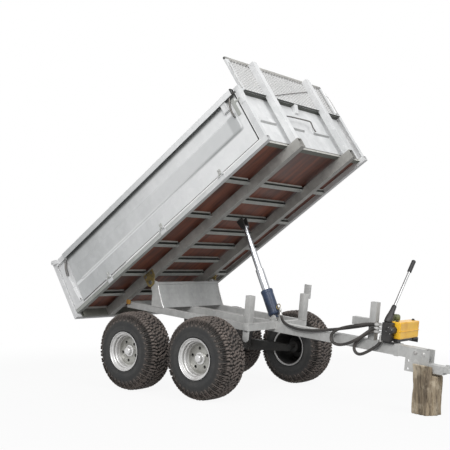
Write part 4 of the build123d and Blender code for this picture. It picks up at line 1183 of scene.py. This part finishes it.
def make_post_feet():
    """A round-ended plate under each post, and the folded guide that rises outside the left one."""
    plates = []
    for _, out in SIDES:
        y0, y1 = sorted((out * 0.399, out * 0.391))
        plate = block((0.558, y0, 0.177), (POST_FRONT, y1, 0.269))
        edit(plate)
        pick(plate, lambda line: all(end.co.z < 0.178 for end in line.verts)
             and abs(line.verts[0].co.x - line.verts[1].co.x) < 0.001, "edges")
        bpy.ops.mesh.bevel(offset=0.0298, segments=10, affect="EDGES")
        leave()
        plates.append(plate)
    guide = block((0.562, POST_OUTER, 0.506), (POST_FRONT, 0.419, 0.628))
    edit(guide)
    pick(guide, lambda face: face.normal.x > 0.9)
    bpy.ops.mesh.extrude_region_move(TRANSFORM_OT_translate={"value": (0.004, 0, 0)})
    pick(guide, lambda face: face.normal.y > 0.9 and face.calc_center_median().x > POST_FRONT)
    bpy.ops.mesh.extrude_region_move(TRANSFORM_OT_translate={"value": (0, 0.016, 0)})
    leave()
    fold = block((0.562, 0.4135, 0.552), (POST_REAR, 0.441, 0.628))
    piece = join(plates + [guide, fold])
    piece.data.transform(CHASSIS)
    finish_piece(piece, "post_feet_and_guide", GALVANISED_FRAME, "chassis",
                 bevel=0.0012, normals=True)
    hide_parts("post_lugs")


def make_frame_ends():
    """Rubber stops at the rails' rear, caps on the crossbeam's ends, and the tower's folded edges."""
    for side, out in SIDES:
        y0, y1 = sorted((out * 0.4075, out * 0.424))
        stop = block((-0.765, y0, 0.300), (-0.722, y1, 0.340), CHASSIS)
        finish_piece(stop, f"rail_stop_{side}", ORANGE, "chassis", bevel=0.004, segments=3)
        y0, y1 = sorted((out * 0.4128, out * 0.4148))
        cap = block((0.5695, y0, 0.2705), (0.6165, y1, 0.3225), CHASSIS)
        finish_piece(cap, f"crossbeam_cap_{side}", GALVANISED_FRAME, "chassis", bevel=0.0008)
        y = out * 0.4035
        fold = [(-0.3265, y, 0.3265), (-0.3850, y, 0.433), (-0.4110, y, 0.510)]
        bent_rod(f"tower_fold_{side}", fold, 0.0036, CHASSIS, HUB, "chassis")


def make_log():
    """A weathered, twisted stump: remeshed evenly, then eaten in along its grain and round its waist."""
    source = NODES["support_log"]
    piece = copy_of(source, Matrix.Identity(4))
    edit(piece)
    bpy.ops.mesh.select_all(action="SELECT")
    bpy.ops.mesh.remove_doubles(threshold=1e-5)
    leave()
    activate(piece)
    modifier = piece.modifiers.new("even_faces", "REMESH")
    modifier.mode = "VOXEL"
    modifier.voxel_size = 0.0055
    bpy.ops.object.modifier_apply(modifier=modifier.name)
    points = piece.data.vertices
    low = min(point.co.z for point in points)
    high = max(point.co.z for point in points)
    middle_x = sum(point.co.x for point in points) / len(points)
    middle_y = sum(point.co.y for point in points) / len(points)
    for point in points:
        along = (point.co.z - low) / (high - low)
        angle = atan2(point.co.y - middle_y, point.co.x - middle_x)
        grain = mesh_noise.noise(Vector((cos(angle) * 7, sin(angle) * 7, along * 2.2)))
        crack = abs(sin(6.5 * angle + 2.6 * along + 1.8 * grain))
        waist = 0.5 + 0.5 * sin(along * 5.2 + angle + 0.6)
        inwards = 0.11 * (1 - crack) ** 2 + 0.07 * waist + 0.04 * (grain + 0.4)
        inwards *= min(1.0, 8 * (1 - along))
        point.co.x -= (point.co.x - middle_x) * inwards
        point.co.y -= (point.co.y - middle_y) * inwards
    finish_piece(piece, "stump", LOG, "chassis", smooth=50)
    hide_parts("support_log")


# Cylinder's barrel, from its foot along the stages

BARREL_FOOT = (0.580, 0, 0.356)
# (distance from the foot, radius): closed end with a collar, tube, head with its ring, and the bore
BARREL_OUTLINE = ((0.024, 0.0006), (0.024, 0.0450), (0.029, 0.0500), (0.033, 0.0515), (0.038, 0.0515),
                  (0.041, 0.0495), (0.216, 0.0495), (0.219, 0.0520), (0.238, 0.0520), (0.240, 0.0500),
                  (0.2445, 0.0500), (0.2455, 0.0480), (0.2455, 0.0372), (0.2250, 0.0372), (0.2250, 0.0395),
                  (0.0355, 0.0395), (0.0355, 0.0006), (0.024, 0.0006))


def make_barrel():
    """The hollow barrel, which the stages slide into, with its eye, elbow and ring."""
    stage = NODES["cylinder_stage_3"].data.vertices
    top = sum((point.co for point in stage), Vector()) / len(stage)
    foot = CHASSIS @ Vector(BARREL_FOOT)
    turn = (top - foot).normalized().to_track_quat("Y", "X").to_matrix().to_4x4()
    place = Matrix.Translation(foot) @ turn
    tube = lathe(BARREL_OUTLINE, 64, place)
    soften(tube, 0, 1, 32)
    eye = block((-0.020, -0.004, -0.020), (0.020, 0.030, 0.020), place)
    soften(eye, 0.006, 3, 40)
    barrel = join([tube, eye])
    name_piece(barrel, "barrel_tube", BLUE, "barrel_body")
    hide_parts("cylinder_barrel")
    inverse = CHASSIS.inverted()
    middle = inverse @ (place @ Vector((0, 0.058, 0)))
    along_barrel = (inverse @ (place @ Vector((0, 1.058, 0))) - middle).normalized()
    end = Vector(FEED[0])
    outward = end - middle
    outward = (outward - along_barrel * outward.dot(along_barrel)).normalized()
    start = middle + outward * 0.047
    bend = (start + outward * 0.020).lerp(end, 0.5) + Vector((0.004, 0, 0.010))
    elbow = [start, start + outward * 0.014, bend, end + Vector((0, 0, 0.014)), end]
    bent_rod("barrel_elbow", elbow, 0.0110, CHASSIS, STEEL, "barrel_body")
    bpy.ops.mesh.primitive_torus_add(major_radius=0.017, minor_radius=0.0032,
                                     major_segments=32, minor_segments=10)
    ring = bpy.context.object
    edit(ring)
    bpy.ops.mesh.select_all(action="SELECT")
    bpy.ops.transform.resize(value=(1.0, 1.25, 1.0))
    leave()
    settle(ring, CHASSIS @ Matrix.Translation((0.606, -0.010, 0.452)) @ Matrix.Rotation(radians(75), 4, "X"))
    finish_piece(ring, "barrel_ring", ZINC, "barrel_body", smooth=60)


# Pump details

LEVER = (CHASSIS @ Matrix.Translation((1.654, -0.055, 0.486)) @ Matrix.Rotation(-radians(36.1), 4, "X"))


def make_pump():
    # tank: rounded box with a pressed waist, a rim all round and a filler plug
    tank = block((1.661, -0.020, 0.359), (1.747, 0.292, 0.489))
    edit(tank)
    pick(tank, lambda face: abs(face.normal.x) > 0.9)
    bpy.ops.mesh.inset(thickness=0.016, depth=-0.0025)
    pick(tank, lambda face: face.normal.z > 0.9)
    bpy.ops.mesh.inset(thickness=0.012, depth=0.0)
    leave()
    tank.data.transform(CHASSIS)
    finish_piece(tank, "tank_shell", YELLOW, "chassis", bevel=0.009, segments=3, smooth=50)
    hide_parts("pump_tank")
    seam = block((1.6595, -0.0214, 0.4155), (1.7485, 0.2934, 0.4205))
    seam.data.transform(CHASSIS)
    finish_piece(seam, "tank_seam", YELLOW, "chassis", bevel=0.0015)
    for number, (x, y, z) in enumerate(((1.704, 0.000, 0.489), (1.704, 0.262, 0.489))):
        plug = bolt_head((x, y, z), (0, 0, 1), 0.010, 0.010, CHASSIS)
        finish_piece(plug, f"tank_plug_{number + 1}", BLACK, "chassis", bevel=0.0006)

    cradle = block((1.668, 0.2215, 0.3455), (1.742, 0.298, 0.3575))
    edit(cradle)
    pick(cradle, lambda face: face.normal.y > 0.9)
    bpy.ops.mesh.extrude_region_move(TRANSFORM_OT_translate={"value": (0, 0.004, 0)})
    pick(cradle, lambda face: face.normal.z < -0.9 and face.calc_center_median().y > 0.298)
    bpy.ops.mesh.extrude_region_move(TRANSFORM_OT_translate={"value": (0, 0, -0.026)})
    leave()
    cradle.data.transform(CHASSIS)
    finish_piece(cradle, "tank_cradle", BLACK, "chassis", bevel=0.0010)

    # valve housing: ribbed olive cap
    outline = ((0.0, 0.0006), (0.0, 0.026), (0.003, 0.028), (0.050, 0.028), (0.053, 0.0315), (0.082, 0.0315),
               (0.085, 0.0285), (0.089, 0.0285), (0.092, 0.0318), (0.110, 0.0318), (0.121, 0.029), (0.130, 0.020),
               (0.132, 0.0006), (0.0, 0.0006))
    housing = lathe(outline, 48, CHASSIS @ Matrix.Translation((1.627, 0.128, 0.400)) @ Matrix.Rotation(pi / 2, 4, "X"))
    arm = block((1.640, 0.116, 0.400), (1.6615, 0.140, 0.448), CHASSIS)
    finish_piece(join([housing, arm]), "valve_housing", OLIVE, "chassis", bevel=0.0008, normals=True)
    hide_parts("pump_valve")

    # head: block with rounded edges, flange with bolts
    head = block((1.626, -0.090, 0.340), (1.700, -0.0205, 0.480))
    edit(head)
    pick(head, lambda face: face.normal.y < -0.9)
    bpy.ops.mesh.inset(thickness=0.008, depth=-0.002)
    leave()
    head.data.transform(CHASSIS)
    soften(head, 0.005, 2, 40)
    flange = lathe(((-0.100, 0.0006), (-0.100, 0.019), (-0.0975, 0.022), (-0.0935, 0.022), (-0.0915, 0.0295),
                    (-0.0880, 0.0300), (-0.0205, 0.0300), (-0.0205, 0.0006), (-0.100, 0.0006)), 40,
                   CHASSIS @ Matrix.Translation((1.692, 0, 0.425)))
    soften(flange, 0.0008, 1, 40)
    neck = lathe(((-0.030, 0.0006), (-0.030, 0.014), (-0.002, 0.014), (-0.0006, 0.0006), (-0.030, 0.0006)), 32,
                 LEVER @ Matrix.Rotation(pi / 2, 4, "X"))
    soften(neck, 0.0008, 1, 40)
    block_piece = join([head, flange, neck])
    name_piece(block_piece, "head_block", BLACK, "chassis")
    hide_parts("pump_head")
    for number, angle in enumerate((20, 110, 200, 290)):
        place = (1.692 + 0.0235 * cos(radians(angle)), -0.0918, 0.425 + 0.0235 * sin(radians(angle)))
        screw = bolt_head(place, (0, -1, 0), 0.0032, 0.0045, CHASSIS, washer=1.2)
        finish_piece(screw, f"flange_screw_{number + 1}", STEEL, "chassis")
    ports = []
    for y, z in ((-0.038, 0.452), (-0.066, 0.452), (-0.066, 0.425), (-0.066, 0.398)):
        place = CHASSIS @ Matrix.Translation((1.592, y, z)) @ Matrix.Rotation(-pi / 2, 4, "Z")
        port = lathe(((0.0, 0.0006), (0.0, 0.0085), (0.010, 0.0085), (0.011, 0.0100), (0.034, 0.0100), (0.035, 0.0075),
                      (0.036, 0.0006), (0.0, 0.0006)), 28, place)
        soften(port, 0.0005, 1, 40)
        ports.append(port)
    drain = block((1.605, -0.074, 0.3645), (1.627, -0.058, 0.383), CHASSIS)
    soften(drain, 0.002, 2, 40)
    name_piece(join(ports + [drain]), "hose_ports", STEEL, "chassis")

    # lever: curved socket with a cross hole, steel bar and ribbed grip
    socket = lathe(((-0.012, 0.0006), (-0.012, 0.024), (-0.004, 0.0285), (0.020, 0.0295), (0.044, 0.0275), (0.070, 0.0235),
                    (0.098, 0.0200), (0.138, 0.0180), (0.1440, 0.0160), (0.1440, 0.0115), (0.130, 0.0110), (0.130, 0.0006),
                    (-0.012, 0.0006)), 36, Matrix.Rotation(pi / 2, 4, "X"))
    bpy.ops.mesh.primitive_cylinder_add(vertices=20, radius=0.0085, depth=0.08, location=(0, 0, 0))
    cutter = bpy.context.object
    settle(cutter, Matrix.Translation((0, 0, 0.068)) @ Matrix.Rotation(pi / 2, 4, "Y"))
    cut(socket, cutter)
    settle(socket, LEVER)
    finish_piece(socket, "lever_socket", BLACK, "chassis", bevel=0.0008)
    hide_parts("pump_lever")
    upright = LEVER @ Matrix.Rotation(pi / 2, 4, "X")
    bar = lathe(((0.126, 0.0006), (0.126, 0.0105), (0.470, 0.0105), (0.470, 0.0006), (0.126, 0.0006)), 28, upright)
    finish_piece(bar, "lever_bar", LEVER_STEEL, "chassis")
    grip = [(0.462, 0.0006), (0.462, 0.0155), (0.466, 0.0174)]
    for rib in range(8):
        along = 0.470 + rib * 0.0113
        grip += [(along, 0.0174), (along + 0.002, 0.0158), (along + 0.0075, 0.0158), (along + 0.0095, 0.0174)]
    grip += [(0.564, 0.0174), (0.570, 0.0140), (0.572, 0.0006), (0.462, 0.0006)]
    handle = lathe(grip, 32, upright)
    finish_piece(handle, "lever_grip", BLACK, "chassis")
    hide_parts("pump_grip")


# Bolts, pins, latches and welds

def make_fixings():
    bolts = []
    for y in (-0.048, 0.048):
        out = -1 if y < 0 else 1
        for x, z in ((1.900, 0.290), (1.965, 0.290), (1.965, 0.196)):
            bolts.append(("hitch_bolt", "chassis", bolt_head((x, y, z), (0, out, 0), 0.0115, 0.009, CHASSIS)))
        for x, z in ((0.552, 0.340), (0.608, 0.340)):
            bolts.append(("foot_bolt", "chassis", bolt_head((x, y * 0.68, z), (0, out, 0), 0.006, 0.006, CHASSIS)))
    for side, out in SIDES:
        for x in (-0.030, 0.045):
            bolts.append((f"pivot_bolt_{side}", "bed", bolt_head((x, out * 0.416, 0.070), (0, out, 0), 0.0095, 0.008, BED)))
        pin = bolt_head((-0.487, out * 0.424, 0.525), (0, out, 0), 0.013, 0.008, CHASSIS)
        bolts.append((f"pivot_pin_nut_{side}", "chassis", pin))
        for x in HINGES:
            for z in (0.158, 0.178):
                head = bolt_head((x, out * 0.734, z), (0, out, 0), 0.0062, 0.0042, BED)
                bolts.append((f"hinge_bolt_{side}", f"side_{side}_body", head))
    for x in (1.640, 1.708):
        for y in (-0.052, 0.052):
            bolts.append(("pump_bolt", "chassis", bolt_head((x, y, 0.340), (0, 0, 1), 0.007, 0.006, CHASSIS)))
    for number, (name, body, piece) in enumerate(bolts):
        finish = DARK_STEEL if name.startswith("pivot") else STEEL
        finish_piece(piece, f"{name}_{number + 1}", finish, body, bevel=0.0006)


HINGES = (-0.130, 0.605, 1.340)


def weld(start, end, width, place, name, body):
    """A rippled weld bead between two points."""
    start = Vector(start)
    end = Vector(end)
    length = (end - start).length
    count = max(6, int(length / 0.007))
    bpy.ops.mesh.primitive_cylinder_add(vertices=8, radius=width, depth=length, location=(0, 0, 0))
    bead = bpy.context.object
    edit(bead)
    pick(bead, lambda edge: abs((edge.verts[0].co - edge.verts[1].co).z) > length * 0.9, "edges")
    bpy.ops.mesh.subdivide(number_cuts=count)
    leave()
    for point in bead.data.vertices:
        ring = round((point.co.z / length + 0.5) * (count + 1))
        swell = 1.0 if ring % 2 else 0.72
        point.co.x *= swell
        point.co.y *= swell
    turn = (end - start).to_track_quat("Z", "Y").to_matrix().to_4x4()
    settle(bead, place @ Matrix.Translation((start + end) / 2) @ turn)
    finish_piece(bead, name, GALVANISED_FRAME, body, smooth=70)


def make_welds():
    number = 0
    for side, out in SIDES:
        for x in CROSS_X:
            for z in (0.093, 0.112):
                number += 1
                y = out * 0.4085
                weld((x - 0.018, y, z), (x + 0.018, y, z), 0.0035, BED, f"cross_weld_{number}", "bed")
        beads = (("post_weld", (POST_FRONT, POST_OUTER), (POST_FRONT, POST_INNER)),
                 ("post_side_weld", (POST_REAR, POST_OUTER), (POST_FRONT, POST_OUTER)),
                 ("tower_weld", (-0.465, 0.4055), (-0.331, 0.4055)))
        for name, (x0, y0), (x1, y1) in beads:
            start = (x0, out * y0, BEAD_TOP)
            end = (x1, out * y1, BEAD_TOP)
            weld(start, end, 0.0045, CHASSIS, f"{name}_{side}", "chassis")
    weld((1.4805, -0.0275, BEAD_TOP), (1.5355, -0.0275, BEAD_TOP), 0.0045, CHASSIS, "arm_post_weld", "chassis")
    weld((1.4795, -0.0280, 0.421), (1.4795, -0.0280, 0.478), 0.004, CHASSIS, "arm_weld", "chassis")


def bent_rod(name, points, radius, place, finish, body):
    """A round bar bent at each inner point, as a tube swept along a smooth line and made a mesh."""
    curve = bpy.data.curves.new(name, "CURVE")
    curve.dimensions = "3D"
    curve.bevel_depth = radius
    curve.bevel_resolution = 3
    curve.resolution_u = 6
    curve.use_fill_caps = True
    spline = curve.splines.new("NURBS")
    spline.points.add(len(points) - 1)
    for point, here in zip(spline.points, points):
        point.co = (*here, 1)
    spline.order_u = 3
    spline.use_endpoint_u = True
    made = bpy.data.objects.new(name, curve)
    bpy.context.scene.collection.objects.link(made)
    activate(made)
    bpy.ops.object.convert(target="MESH")
    piece = bpy.context.object
    piece.data.transform(place)
    finish_piece(piece, name, finish, body, smooth=60)
    return piece


def make_rear_strips():
    """The bright flat strip along each rear post in front of its catch, and the cap's bright end."""
    for side, out in SIDES:
        near, far = sorted((out * 0.7345, out * 0.7368))
        lower = block((-0.5535, near, 0.159), (-0.5222, far, 0.300))
        edit(lower)
        pick(lower, lambda point: point.co.z > 0.29, "verts")
        bpy.ops.transform.translate(value=(-0.0225, 0, 0))
        leave()
        upper = block((-0.5620, near, 0.304), (-0.5530, far, 0.424))
        edit(upper)
        pick(upper, lambda point: point.co.z > 0.42, "verts")
        bpy.ops.transform.translate(value=(-0.0190, 0, 0))
        leave()
        inner, outer = sorted((out * 0.7315, out * 0.7530))
        cap_end = block((-0.5212, inner, 0.5765), (-0.5192, outer, 0.6220))
        piece = join([lower, upper, cap_end])
        piece.data.transform(BED)
        finish_piece(piece, f"rear_strip_{side}", BRIGHT_ZINC, "bed", bevel=0.0005, segments=1)


def make_latches():
    for side, out in SIDES:
        y = out * 0.7345
        # front latch: a keeper plate on the post, a hook and a cam lever on the side
        keeper = block((1.790, min(y, out * 0.730), 0.470), (1.832, max(y, out * 0.730), 0.600), BED)
        finish_piece(keeper, f"front_keeper_{side}", GALVANISED, "bed", bevel=0.0015)
        hook = [(1.800, out * 0.741, 0.585), (1.760, out * 0.744, 0.592), (1.722, out * 0.746, 0.572),
                (1.716, out * 0.746, 0.540)]
        bent_rod(f"front_hook_{side}", hook, 0.0075, BED, DARK_STEEL, f"side_{side}_body")
        y0, y1 = sorted((out * 0.732, out * 0.757))
        case = block((1.632, y0, 0.498), (1.684, y1, 0.574))
        edit(case)
        pick(case, lambda face: abs(face.normal.y) > 0.9 and abs(face.calc_center_median().y) > 0.75)
        bpy.ops.mesh.inset(thickness=0.010, depth=-0.004)
        leave()
        case.data.transform(BED)
        finish_piece(case, f"front_latch_case_{side}", GALVANISED, f"side_{side}_body", bevel=0.002)
        handle = [(1.716, out * 0.746, 0.552), (1.700, out * 0.752, 0.500), (1.696, out * 0.756, 0.450),
                  (1.702, out * 0.752, 0.412)]
        bent_rod(f"front_handle_{side}", handle, 0.0075, BED, DARK_STEEL, f"side_{side}_body")
        # rear latch: handle curled over the post's front edge
        handle = [(-0.515, out * 0.744, 0.566), (-0.530, out * 0.750, 0.530),
                  (-0.552, out * 0.752, 0.490), (-0.566, out * 0.746, 0.430)]
        bent_rod(f"rear_handle_{side}", handle, 0.0115, BED, DARK_STEEL, "bed")
        pin = bolt_head((-0.5335, out * 0.735, 0.170), (0, out, 0), 0.006, 0.006, BED, washer=1.3)
        finish_piece(pin, f"rear_latch_pin_{side}", DARK_STEEL, "bed", bevel=0.0005)
        stay = [(1.846, out * 0.690, 0.600), (1.846, out * 0.694, 0.700), (1.846, out * 0.694, 0.800),
                (1.838, out * 0.676, 0.862)]
        bent_rod(f"guard_stay_{side}", stay, 0.004, BED, STEEL, "bed")
    # locking rod low on the headboard
    rod = [(1.846, -0.262, 0.398), (1.850, -0.240, 0.400), (1.850, -0.080, 0.402), (1.850, 0.052, 0.404),
           (1.850, 0.078, 0.400), (1.850, 0.072, 0.372), (1.850, 0.060, 0.330), (1.850, 0.066, 0.310),
           (1.844, 0.080, 0.300)]
    bent_rod("headboard_rod", rod, 0.0055, BED, DARK_STEEL, "bed")


make_camera()
finish_nodes()
make_hoses()
make_wheels()
make_guard()
make_cross_members()
make_headboard()
make_posts()
make_post_feet()
make_frame_ends()
make_log()
make_barrel()
make_pump()
make_fixings()
make_latches()
make_rear_strips()
make_welds()
make_stage()
